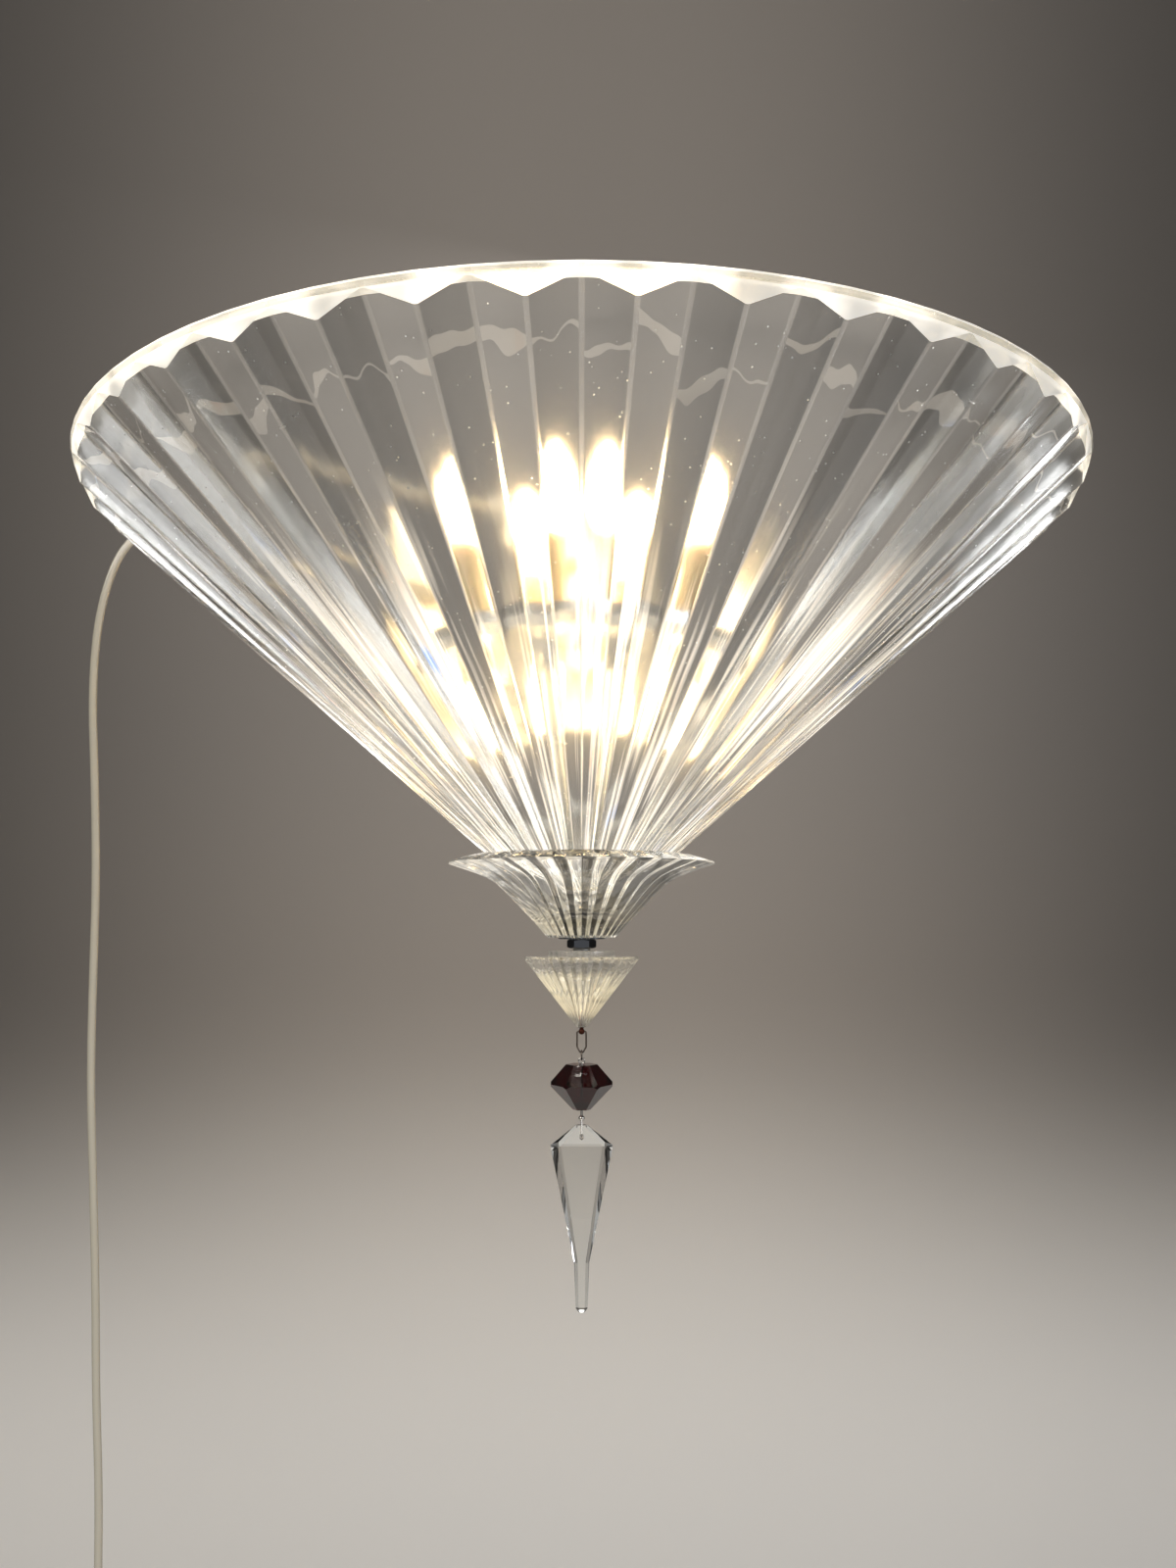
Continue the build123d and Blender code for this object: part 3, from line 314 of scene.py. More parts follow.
def fill(made, inputs):
    """Gives each input of a node its value, or the socket that feeds it."""
    for key, value in inputs.items():
        if isinstance(value, bpy.types.NodeSocket):
            made.id_data.links.new(value, made.inputs[key])
        else:
            made.inputs[key].default_value = value


def node(tree, kind, inputs=None, **settings):
    """Adds one node with its settings and inputs, and gives its first output in use."""
    made = tree.nodes.new("ShaderNode" + kind)
    for key, value in settings.items():
        setattr(made, key, value)
    fill(made, inputs or {})
    return next(out for out in made.outputs if out.enabled)


def start(name, colour, **sockets):
    """A new material: its tree, its shader and its object coordinates."""
    material = bpy.data.materials.new(name)
    material.use_nodes = True
    tree = material.node_tree
    shader = tree.nodes["Principled BSDF"]
    sockets["Base_Color"] = colour if len(colour) == 4 else linear(colour)
    fill(shader, {key.replace("_", " "): value for key, value in sockets.items()})
    return material, tree, shader, node(tree, "TexCoord").node.outputs["Object"]


def relief(shader, height, depth, strength):
    """Feeds a height into the shader's normal."""
    inputs = {"Height": height, "Distance": depth, "Strength": strength}
    fill(shader, {"Normal": node(shader.id_data, "Bump", inputs)})


def grained(shader, place, size, detail, depth, strength=0.5):
    """An uneven skin: noise of that size, raised by depth."""
    inputs = {"Vector": place, "Scale": 1 / size, "Detail": detail}
    relief(shader, node(shader.id_data, "TexNoise", inputs), depth, strength)


def round_axis(place):
    """The angle round the light's upright axis, 0 at the front, and the height."""
    tree = place.id_data
    x, y, z = node(tree, "SeparateXYZ", {"Vector": place}).node.outputs
    ahead = node(tree, "Math", {0: AXIS_Y, 1: y}, operation="SUBTRACT")
    return node(tree, "Math", {0: x, 1: ahead}, operation="ARCTAN2"), z


def drawn_streaks(axis, per_turn, reach, detail=1.0):
    """Noise drawn out along the ribs: so many streaks a turn, each about reach long."""
    angle, height = axis
    tree = angle.id_data
    fine = node(tree, "Math", {0: angle, 1: per_turn / TURN}, operation="MULTIPLY")
    slow = node(tree, "Math", {0: height, 1: 1 / reach}, operation="MULTIPLY")
    where = node(tree, "CombineXYZ", {"X": fine, "Y": slow})
    return node(tree, "TexNoise", {"Vector": where, "Scale": 1.0, "Detail": detail})


def colour_stops(factor, stops):
    """A colour ramp through (position, sRGB hex) stops."""
    colour = node(factor.id_data, "ValToRGB", {"Fac": factor})
    elements = colour.node.color_ramp.elements
    while len(elements) < len(stops):
        elements.new(0.5)
    for element, (at, tint) in zip(elements, stops):
        element.position, element.color = at, linear(tint)
    return colour


def painted_glow_where(shader, amount, colour, strength):
    """Painted glow on the glass: an emission colour where amount is 1, none where it is 0."""
    inputs = {0: amount, 6: (0, 0, 0, 1), 7: colour}
    glow = node(shader.id_data, "Mix", inputs, data_type="RGBA")
    fill(shader, {"Emission Color": glow, "Emission Strength": strength})


def cut_crystal():
    """Lead crystal, cut and polished on the wheel: clear, high index, flat bright facets."""
    tint = (*bpy.context.scene.sconce_look.glass_tint, 1.0)
    material, _, shader, place = start(
        "lead_crystal_cut_polished", tint, Roughness=0.0, IOR=CRYSTAL_IOR, Transmission_Weight=1.0)
    grained(shader, place, 9 * MM, 0.0, 0.05 * MM)
    return material


def crystal(name="lead_crystal_fire_polished_painted_glow", haze=0.02, flow_mark_glow=0.2025):
    """Lead crystal, pressed and fire-polished: clear, high index, slow waves and fine specks,
    with painted glow: warm streaks low down along the ribs, and flow marks under the rim painted as
    glowing lines."""
    look = bpy.context.scene.sconce_look
    tint = (*look.glass_tint, 1.0)
    smoky = (*(0.86 * c for c in look.glass_tint), 1.0)
    material, tree, shader, place = start(
        name, tint, IOR=CRYSTAL_IOR, Roughness=haze, Transmission_Weight=1.0)
    axis = angle, height = round_axis(place)

    # Slow waves, a little fine ripple and the ribs' own draw lines.
    wave = node(tree, "TexNoise", {"Vector": place, "Scale": 1 / (26 * MM), "Detail": 1.0})
    ripple = node(tree, "TexNoise", {"Vector": place, "Scale": 1 / (7 * MM), "Detail": 0.0})
    ribs = drawn_streaks(axis, per_turn=170, reach=110 * MM)
    waves = node(tree, "Math", {0: ripple, 1: 0.12, 2: wave}, operation="MULTIPLY_ADD")
    waves = node(tree, "Math", {0: ribs, 1: 0.3, 2: waves}, operation="MULTIPLY_ADD")
    relief(shader, waves, 0.9 * MM, look.glass_wave)

    # Specks: satin dots in the clear skin.
    specks = node(tree, "TexVoronoi", {"Vector": place, "Scale": 1 / (5.5 * MM), "Randomness": 1.0})
    dots = node(tree, "MapRange", {
        "Value": specks, "From Min": 0.05, "From Max": 0.08, "To Min": 0.5, "To Max": haze})
    fill(shader, {"Roughness": dots})

    # Painted glow: warm streaks from under the rim down, standing in for the lamps' light.
    low_down = node(tree, "MapRange", {
        "Value": height, "From Min": RIM_TOP_Z - 45 * MM, "From Max": RIM_TOP_Z - 115 * MM,
    }, interpolation_type="SMOOTHSTEP")
    streaks = drawn_streaks(axis, per_turn=150, reach=120 * MM, detail=2.0)
    bright = node(tree, "MapRange", {"Value": streaks, "From Min": 0.55, "From Max": 0.62})
    painted_streaks = node(tree, "Math", {0: low_down, 1: bright}, operation="MULTIPLY")

    # Flow marks painted as glow: one wandering pale line a facet near the rim, thick and thin by
    # turns.
    near_rim = node(tree, "MapRange", {
        "Value": height, "From Min": RIM_TOP_Z - 52 * MM, "From Max": RIM_TOP_Z - 22 * MM,
    }, interpolation_type="SMOOTHSTEP")
    facet = node(tree, "Math", {0: angle, 1: 2 * FLUTES / TURN}, operation="MULTIPLY")
    facet = node(tree, "Math", {0: facet}, operation="FLOOR")
    chance = node(tree, "TexWhiteNoise", {"W": facet}, noise_dimensions="1D")
    wander = drawn_streaks(axis, per_turn=64, reach=60 * MM, detail=2.0)
    level = node(tree, "Math", {0: wander, 1: 26 * MM, 2: height}, operation="MULTIPLY_ADD")
    level = node(tree, "Math", {0: chance, 1: 16 * MM, 2: level}, operation="MULTIPLY_ADD")
    thick = drawn_streaks(axis, per_turn=50, reach=22 * MM)
    width = node(tree, "MapRange", {
        "Value": thick, "From Min": 0.45, "From Max": 0.68, "To Min": 0.3 * MM, "To Max": 3.6 * MM})
    line = node(tree, "Math", {0: level, 1: RIM_TOP_Z - 3 * MM, 2: width}, operation="COMPARE")
    painted_flow_line = node(tree, "Math", {0: line, 1: near_rim}, operation="MULTIPLY")
    amount = node(tree, "Math", {0: painted_flow_line, 1: flow_mark_glow, 2: painted_streaks}, operation="MULTIPLY_ADD")

    # Each facet has its own tone, and rare glow streaks are blue or orange, as painted glints.
    tone = node(tree, "Mix", {0: chance, 6: tint, 7: smoky}, data_type="RGBA")
    fill(shader, {"Base Color": tone})
    glint_hue = colour_stops(drawn_streaks(axis, per_turn=60, reach=30 * MM), [
        (0.26, "#7db4ff"), (0.34, "#fff4e4"), (0.68, "#ffefd6"), (0.76, "#ffb778")])
    painted_glow_where(shader, amount, glint_hue, look.painted_streak_glow)
    return material


def satin_crystal_painted_glow(name="lead_crystal_satin_ridge_painted_glow", strength=0.7):
    """Crystal where moulding, sawing and wiping left it satin along its ridges and cut edges,
    with a painted glow there that grows stronger the lower it runs."""
    material, tree, shader, place = start(
        name, "#fbfaf6", Roughness=0.2, IOR=CRYSTAL_IOR, Transmission_Weight=0.9)
    axis = round_axis(place)
    # Painted glow, stronger lower down, in broken streaks.
    low_down = node(tree, "MapRange", {
        "Value": axis[1], "From Min": RIM_TOP_Z - 20 * MM, "From Max": SHADE_BASE_Z + 20 * MM,
        "To Min": 0.08, "To Max": 1.0})
    streaks = drawn_streaks(axis, per_turn=90, reach=40 * MM)
    broken = node(tree, "MapRange", {"Value": streaks, "From Min": 0.3, "From Max": 0.7})
    amount = node(tree, "Math", {0: low_down, 1: broken}, operation="MULTIPLY")
    painted_glow_where(shader, amount, linear("#fff3e0"), strength)
    grained(shader, place, 2 * MM, 2.0, 0.1 * MM)
    return material


def painted_fluted_glow(name, top, foot, stops, strength, shade, dark, uneven=0.45, **sockets):
    """Small cut crystal with painted glow standing in for the lamps' light: a ramp down its height,
    its edges toothed by the flutes, and one facet of each flute painted brighter than the other."""
    material, tree, shader, place = start(name, "#f6f4ee", IOR=CRYSTAL_IOR, **sockets)
    axis = angle, height = round_axis(place)
    flute = node(tree, "Math", {0: angle, 1: 2 * SMALL_FLUTES / TURN}, operation="MULTIPLY")
    tooth = node(tree, "Math", {0: flute, 1: 1.0}, operation="PINGPONG")
    edge = node(tree, "Math", {0: tooth, 1: 3.0 * MM, 2: height}, operation="MULTIPLY_ADD")
    depth = node(tree, "MapRange", {"Value": edge, "From Min": top, "From Max": foot})
    half = node(tree, "Math", {0: flute, 1: 0.5}, operation="MULTIPLY")
    side = node(tree, "Math", {0: half}, operation="FRACT")
    # Painted light and shade: one facet of each flute lit and the other shaded down to the shade
    # share, and a painted highlight along each ridge.
    facet = node(tree, "MapRange", {
        "Value": side, "From Min": 0.47, "From Max": 0.53, "To Min": shade, "To Max": 1.0})
    ridge = node(tree, "MapRange", {
        "Value": tooth, "From Min": 0.8, "From Max": 1.0, "To Min": 0.0, "To Max": 0.5})
    both = node(tree, "Math", {0: facet, 1: ridge}, operation="ADD")
    streaks = drawn_streaks(axis, per_turn=110, reach=9 * MM, detail=2.0)
    jumble = node(tree, "MapRange", {
        "Value": streaks, "From Min": 0.35, "From Max": 0.65, "To Min": uneven, "To Max": 1.15})
    amount = node(tree, "Math", {0: both, 1: jumble}, operation="MULTIPLY")
    painted_glow_where(shader, amount, colour_stops(depth, stops), strength)
    # Painted shade: the shaded facet's body colour is the darker tone.
    tones = {0: facet, 6: linear(dark), 7: linear("#f8f7f3")}
    tone = node(tree, "Mix", tones, data_type="RGBA")
    fill(shader, {"Base Color": tone})
    return material


def cone_crystal():
    """Cut crystal with painted glow standing in for the lamps' light: clear at the top, cream
    glowing stripes below a toothed edge, and clear again round the pin."""
    stops = [(0.0, "#2a2825"), (0.14, "#5d574d"), (0.24, "#d9c9a2"), (0.42, "#cdbd96"),
             (0.46, "#4b4534"), (0.50, "#dccba4"), (0.72, "#cdbb92"), (0.80, "#1d1913")]
    return painted_fluted_glow("lead_crystal_cut_cone_painted_glow", CONE_TOP_Z, CONE_TIP_Z, stops, 0.50,
                       0.25, "#dcd8cc", 0.85, Roughness=0.0, Transmission_Weight=0.85)


def dish_crystal():
    """Cut crystal flared under the shade: painted lit and shaded facets by turns, with painted glow
    brightest low down and along the scalloped lip."""
    stops = [(0.0, "#fff2dc"), (0.10, "#c9c6bf"), (0.22, "#6f6d68"), (0.55, "#8f8b82"),
             (0.80, "#cfc3a6"), (1.0, "#e8dab8")]
    return painted_fluted_glow("lead_crystal_cut_dish_painted_glow", DISH_TOP_Z - 2 * MM, DISH_BASE_Z, stops,
                       0.55, 0.0, "#4f4d4a", Roughness=0.0, Transmission_Weight=1.0)


def ground_crystal_painted_glow():
    """The same crystal where it was ground and acid-dipped: a satin edge, made bright by a painted
    glow in patches.
    """
    material, tree, shader, place = start(
        "lead_crystal_ground_edge_painted_glow", "#f6f8f7", Roughness=0.3, IOR=CRYSTAL_IOR,
        Transmission_Weight=0.45)
    # Painted glow in patches along the ground edge.
    patches = node(tree, "TexNoise", {"Vector": place, "Scale": 1 / (24 * MM), "Detail": 1.0})
    glow = colour_stops(patches, [(0.40, "#8f897c"), (0.58, "#fff4e2")])
    fill(shader, {"Emission Color": glow, "Emission Strength": 0.8})
    grained(shader, place, 1.1 * MM, 2.0, 0.08 * MM)
    return material


def red_crystal():
    """Gold-ruby crystal, cut and polished: nearly black in depth, red where it is thin."""
    tint = (*bpy.context.scene.sconce_look.bead_tint, 1.0)
    material, _, shader, place = start(
        "ruby_crystal_cut", tint, Roughness=0.02, IOR=1.55, Transmission_Weight=0.95,
        Specular_IOR_Level=0.3)
    grained(shader, place, 6 * MM, 1.0, 0.05 * MM, 0.4)
    return material


def metal(name, colour, roughness, grain_mm=None, along=(1, 1, 1), depth_mm=0.02, wear=1.7):
    """Plated or rolled metal: grain drawn out along one direction, with duller handling marks."""
    material, tree, shader, place = start(name, colour, Metallic=1.0, Roughness=roughness)
    marks = node(tree, "TexNoise", {"Vector": place, "Scale": 1 / (18 * MM), "Detail": 4.0})
    dull = node(tree, "MapRange", {
        "Value": marks, "From Min": 0.35, "From Max": 0.75, "To Min": roughness * 0.9,
        "To Max": roughness * wear + 0.02})
    fill(shader, {"Roughness": dull})
    if grain_mm:
        drawn = node(tree, "Mapping", {"Vector": place, "Scale": along})
        grained(shader, drawn, grain_mm * MM, 3.0, depth_mm * MM, 0.6)
    return material


def moulded(name, colour, roughness, grain_mm=0.8, depth_mm=0.03, depth_of_light=(0.0, 0.05)):
    """Moulded plastic, rubber or card: a slightly clouded body colour under a fine grain, and
    light that sinks in by a share and a distance."""
    share, reach = depth_of_light
    material, tree, shader, place = start(
        name, colour, Roughness=roughness, Subsurface_Weight=share, Subsurface_Scale=reach)
    grained(shader, place, grain_mm * MM, 2.0, depth_mm * MM)
    base = linear(colour)
    deep = (*(c * 0.88 for c in base[:3]), 1.0)
    cloud = node(tree, "TexNoise", {"Vector": place, "Scale": 1 / (14 * MM), "Detail": 2.0})
    fade = node(tree, "MapRange", {"Value": cloud, "From Min": 0.4, "From Max": 0.8})
    tone = node(tree, "Mix", {0: fade, 6: base, 7: deep}, data_type="RGBA")
    fill(shader, {"Base Color": tone})
    return material


def lamp_glass(name="opal_lamp_glass_lit", strength=1.0):
    """Lit opal lamp glass: a warm, even glow under a smooth skin."""
    material, _, shader, place = start(name, "#fff1d6", Roughness=0.25)
    glow = bpy.context.scene.sconce_look.lamp_glow * strength
    fill(shader, {"Emission Color": linear("#ffdca4"), "Emission Strength": glow})
    grained(shader, place, 3 * MM, 1.0, 0.02 * MM, 0.3)
    return material


def clear_flex():
    """Clear PVC twin flex: tinned and copper strands show as two bands under a gloss skin."""
    material, tree, shader, _ = start(
        "clear_pvc_flex", "#d8cdb4", Roughness=0.16, IOR=1.53, Coat_Weight=0.7,
        Coat_Roughness=0.08)
    uv = node(tree, "UVMap", uv_map="along")
    across = node(tree, "SeparateXYZ", {"Vector": uv})
    stops = [(0.0, "#c6bfae"), (0.16, "#957248"), (0.30, "#b7a27c"), (0.46, "#d8d3c6"),
             (0.62, "#a8a395"), (0.78, "#c2bdae"), (1.0, "#c6bfae")]
    fill(shader, {"Base Color": colour_stops(across, stops)})
    strands = node(tree, "Mapping", {
        "Vector": uv, "Scale": (9.0, 260.0, 1.0), "Rotation": (0, 0, 0.35)})
    twist = node(tree, "TexWave", {"Vector": strands, "Scale": 1.0, "Distortion": 1.2})
    relief(shader, twist.node.outputs["Fac"], 0.08 * MM, 0.5)
    return material


# Glass and lamps, each by its own maker; the shade's crystal and inside, the satin, sawn and ground
# edges, the cone and the dish carry painted glow.
CLEAR = {
    "crystal": crystal,
    "inside": lambda: crystal("lead_crystal_pressed_inside_painted_glow",
                              bpy.context.scene.sconce_look.glass_haze, 0.0),
    "cut": cut_crystal,
    "cone": cone_crystal,
    "dish": dish_crystal,
    "worn_and_glow": satin_crystal_painted_glow,
    "sawn_and_glow": lambda: satin_crystal_painted_glow("lead_crystal_sawn_satin_painted_glow", 0.10),
    "ground": ground_crystal_painted_glow,
    "ruby": red_crystal,
    "lamp": lamp_glass,
    "capsule": lambda: lamp_glass("capsule_lamp_glass_lit", 16.0),
    "flex": clear_flex,
}
# Name, colour, roughness, then grain in mm, its draw, its depth in mm and the wear.
METALS = {
    "plate": ("stainless_sheet_polished", "#bab8b3", 0.34, 0.7, (0.04, 1, 1), 0.02, 1.0),
    "bracket": ("chromed_pressed_steel", "#d8d8d8", 0.12),
    "chrome": ("bright_chrome_plate", "#dcdee0", 0.07),
    # A darker copy of the chrome, as painted shade.
    "chrome_painted_shade": ("chrome_plate_in_shadow", "#6b6f76", 0.10),
    "zinc": ("zinc_plated_steel", "#b4b6b6", 0.30, 0.6, (1, 1, 0.2), 0.03),
    "wire": ("nickel_plated_wire", "#c9c6c0", 0.14),
    # A darker copy of the nickel wire, for the link and the split ring.
    "dark_wire": ("nickel_wire_darker", "#6a6058", 0.22),
    "copper": ("browned_copper", "#4a2a20", 0.32, 0.5, (1, 1, 0.3)),
    "brass": ("rolled_brass_cap", "#c2a05a", 0.28, 0.5, (1, 1, 1), 0.03),
    "pins": ("turned_brass_pins", "#cdb982", 0.22, 0.4),
}
# Name, colour, roughness, then grain and its depth in mm, and how light sinks in.
MOULDINGS = {
    "housing": ("abs_moulded_white", "#e2dfd6", 0.45),
    "nylon": ("nylon_natural", "#dedacb", 0.42, 0.8, 0.03, (0.1, 0.002)),
    "gland": ("nylon_gland_grey", "#cfcfc9", 0.40),
    "card": ("pressed_insulating_card", "#b7a988", 0.8, 1.6, 0.08),
    "feed": ("woven_glass_fibre_sleeve", "#dcd7c8", 0.7, 0.9, 0.15),
    "sleeve": ("candle_sleeve_cream", "#b5a17a", 0.38, 2.5, 0.05, (0.25, 0.004)),
    "holder": ("glazed_porcelain_holder", "#ece9e0", 0.18, 3.0),
    "rubber": ("translucent_silicone", "#c9c9c2", 0.5, 1.2, 0.05),
    "tie": ("polyamide_tie_clear", "#dededb", 0.25),
    "plug": ("pvc_moulded_plug", "#e6e4dc", 0.42),
}
MATERIALS = {}


def finish_of(name):
    """One shared material by its short name, made when it is first asked for."""
    if name not in MATERIALS:
        if name in METALS:
            MATERIALS[name] = metal(*METALS[name])
        elif name in MOULDINGS:
            MATERIALS[name] = moulded(*MOULDINGS[name])
        else:
            MATERIALS[name] = CLEAR[name]()
    return MATERIALS[name]


def dress(node_name, finish):
    """A new finish on a carried-over node."""
    thing = NODES[node_name]
    for place in thing.material_slots:
        place.link = "OBJECT"
        place.material = finish_of(finish)
    if not thing.material_slots:
        thing.data.materials.append(finish_of(finish))


def settle(thing, slot, *stands_for, body=ROOT, finish=None):
    """A new piece: its finish, its body and the nodes it stands for; slot is not used."""
    if finish:
        thing.data.materials.clear()
        thing.data.materials.append(finish_of(finish))
    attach(thing, body)
    if stands_for:
        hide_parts(*stands_for)
    return thing


# --------------------------------------------------------------------- glass
def ridge_radius(z):
    """The shade's ridge radius at a height: straight lines from the apex."""
    return (z - APEX_Z) / FLUTE_SLOPE


def band_radius(z):
    """The ground rim band's radius at a height: a slightly flared ring."""
    lean = (RIM_TOP_R - RIM_BAND_R) / RIM_BAND_DROP
    return RIM_TOP_R - lean * (RIM_TOP_Z - z)


def shade_grid():
    """Rows up the fluted outside to where it meets the band, up the band, over the top edge,
    down the smooth inside, across the floor and down the bore. A column's flutes end where
    ridge_radius times its flute share equals band_radius, so the bright ends come out pointed."""
    angle = flute_angles(FLUTES, CREASE)
    share = softened(angle, FLUTES, NOTCH, CREASE, EASE)
    lean = (RIM_TOP_R - RIM_BAND_R) / RIM_BAND_DROP
    meet = (RIM_TOP_R - lean * RIM_TOP_Z + share * APEX_Z / FLUTE_SLOPE) / (
        share / FLUTE_SLOPE - lean)
    heights = [SHADE_BASE_Z + (meet - SHADE_BASE_Z) * t for t in np.linspace(0, 1, FLUTE_ROWS)]
    rows = [(ridge_radius(z) * share, z) for z in heights]
    top = RIM_TOP_Z - RIM_CHAMFER

    # The band: three rows to its ground line, one on the way up, and its rounded top edge.
    line = np.maximum(meet + RIM_LINE / 8, RIM_TOP_Z - RIM_LINE)
    heights = [meet + (line - meet) * t for t in (0.35, 0.7, 1.0)]
    heights += [line + (top - line) * 0.6, top]
    rows += [(band_radius(z), z) for z in heights]
    over = bend((RIM_TOP_R - 2 * RIM_CHAMFER, top), RIM_CHAMFER * 1.6, 10, 90, 4)
    rows += [(r, min(z, RIM_TOP_Z)) for r, z in over]
    rows += [(VALLEY * ridge_radius(RIM_TOP_Z) - SHADE_WALL + RIM_CHAMFER, RIM_TOP_Z)]
    floor = SHADE_BASE_Z + SHADE_FLOOR
    rows += [(VALLEY * ridge_radius(z) - SHADE_WALL, z) for z in np.linspace(top, floor, WALL_ROWS)]
    rows += [(BORE_R, floor), (BORE_R, SHADE_BASE_Z)]
    return stacked(angle, rows)


def slice_flat(thing, y):
    """Takes away what lies behind y and closes the flat that it leaves."""
    work = bmesh.new()
    work.from_mesh(thing.data)
    cut = bmesh.ops.bisect_plane(
        work, geom=work.verts[:] + work.edges[:] + work.faces[:], plane_co=(0, y, 0),
        plane_no=(0, 1, 0), clear_outer=True, dist=1e-7)
    edges = [e for e in cut["geom_cut"] if isinstance(e, bmesh.types.BMEdge)]
    bmesh.ops.holes_fill(work, edges=edges, sides=0)
    flat = [f for f in work.faces if len(f.verts) > 4]
    bmesh.ops.triangulate(work, faces=flat, ngon_method="EAR_CLIP")
    bmesh.ops.recalc_face_normals(work, faces=work.faces)
    put_back(work, thing.data)


def paint_faces(thing, *tests):
    """Gives slot 1, 2 and so on to the faces whose middles pass each test in turn."""
    mesh = thing.data
    count = len(mesh.polygons)
    place, normal = np.empty(count * 3), np.empty(count * 3)
    mesh.polygons.foreach_get("center", place)
    mesh.polygons.foreach_get("normal", normal)
    place, normal = place.reshape(-1, 3), normal.reshape(-1, 3)
    radius = np.hypot(place[:, 0], place[:, 1] - AXIS_Y)
    slots = np.zeros(count, np.int32)
    for index, chosen in enumerate(tests, 1):
        slots[chosen(radius, place, normal)] = index
    mesh.polygons.foreach_set("material_index", slots)


class SCONCE_OT_shade(bpy.types.Operator):
    """The fluted crystal shade, ground round its rim and sliced flat behind"""

    bl_idname = "sconce.shade"
    bl_label = "Crystal shade"

    def execute(self, context):
        glass = grid_mesh("crystal_shade", shade_grid(), wrap_rows=True, wrap_columns=True)
        slice_flat(glass, BACK_CUT_Y)
        # Slots: crystal and inside with painted glow streaks, then satin creases, ground rim and
        # sawn flat, each with painted glow.
        for finish in ("crystal", "worn_and_glow", "ground", "sawn_and_glow", "inside"):
            glass.data.materials.append(finish_of(finish))

        # Each test picks faces by radius, place and normal; the last that passes decides.
        def on_inside(radius, place, normal):
            wall = VALLEY * ridge_radius(place[:, 2]) - SHADE_WALL
            return (radius < wall + 0.5 * MM) & (place[:, 2] < RIM_TOP_Z - 3 * RIM_CHAMFER)

        def on_slice(radius, place, normal):
            return (normal[:, 1] > 0.99) & (place[:, 1] > BACK_CUT_Y - 0.1 * MM)

        def on_crease(radius, place, normal):
            step = math.pi / FLUTES
            angle = np.arctan2(place[:, 0], AXIS_Y - place[:, 1])
            a = np.abs((angle / step + 1) % 2 - 1)
            outside = radius > 0.955 * ridge_radius(place[:, 2])
            return outside & ((a > 1 - CREASE) | (a < 0.5 * CREASE)) & (normal[:, 2] < 0)

        def on_band(radius, place, normal):
            outside = radius > band_radius(place[:, 2]) - 0.4 * MM
            ends = outside & (place[:, 2] > RIM_TOP_Z - 1.4 * RIM_BAND_DROP)
            ends &= (place[:, 2] < RIM_TOP_Z - RIM_LINE) & (np.abs(normal[:, 2]) < 0.55)
            return ends | (place[:, 2] > RIM_TOP_Z - 1.3 * RIM_CHAMFER)

        paint_faces(glass, on_crease, on_band, on_slice, on_inside)
        settle(glass, "crystal", "glass_shade")
        return {"FINISHED"}


def fluted_rings(foot, top, soft, outside, crown, inside):
    """Rings of radius and height in mm: outside and inside stand on the foot, and the crown
    hangs from the top. Only the rows outside are fluted, each with its valley's share."""
    angle = flute_angles(SMALL_FLUTES, soft)
    rows = [(r * MM * softened(angle, SMALL_FLUTES, share, soft, SMALL_EASE), foot + z * MM)
            for r, z, share in outside]
    rows += [(r * MM, top - z * MM) for r, z in crown]
    rows += [(r * MM, foot + z * MM) for r, z in inside]
    return stacked(angle, rows)


def dish_grid():
    """Rows up the fluted flank, out over the scalloped lip, in across the crown, down the
    smooth bowl and the bore. The flutes deepen towards the lip's points."""
    flank = [(18.6, 0.0, 0.97), (20.0, 1.2, 0.95), (26.0, 8.0, 0.94), (33.6, 16.0, 0.935),
             (40.8, 23.6, 0.93), (47.2, 29.6, 0.93), (52.6, 32.9, 0.93), (58.3, 35.3, 0.93),
             (65.4, 37.7, 0.935), (72.4, 40.0, 0.935), (74.0, 40.6, 0.94), (72.8, 41.4, 0.945)]
    bowl = [(64.0, 0.7), (60.5, 0.0), (58.6, 1.0), (56.0, 3.2), (45.0, 12.4), (34.0, 21.6),
            (25.0, 29.2)]
    bore = [(22.5, 14.6), (18.0, 14.4), (5.2, 14.4), (5.2, 0.0)]
    return fluted_rings(DISH_BASE_Z, DISH_TOP_Z, 0.09, flank, bowl, bore)


def cone_grid():
    """Rows up the fluted cone, over its chamfered top and down the socket and the pin's bore."""
    height = (CONE_TOP_Z - CONE_TIP_Z) / MM
    flank = [(2.4, 0.0, 0.97), (3.1, 0.5, 0.95)]
    flank += [(3.1 + 28.9 * t, 0.5 + (height - 1.7) * t, 0.93) for t in (0.25, 0.5, 0.75, 1.0)]
    flank += [(30.8, height, 0.93)]
    socket = [(5.2, 0.0), (5.2, 6.0), (1.9, 6.0)]
    return fluted_rings(CONE_TIP_Z, CONE_TOP_Z, 0.12, flank, socket, [(1.9, 0.0)])


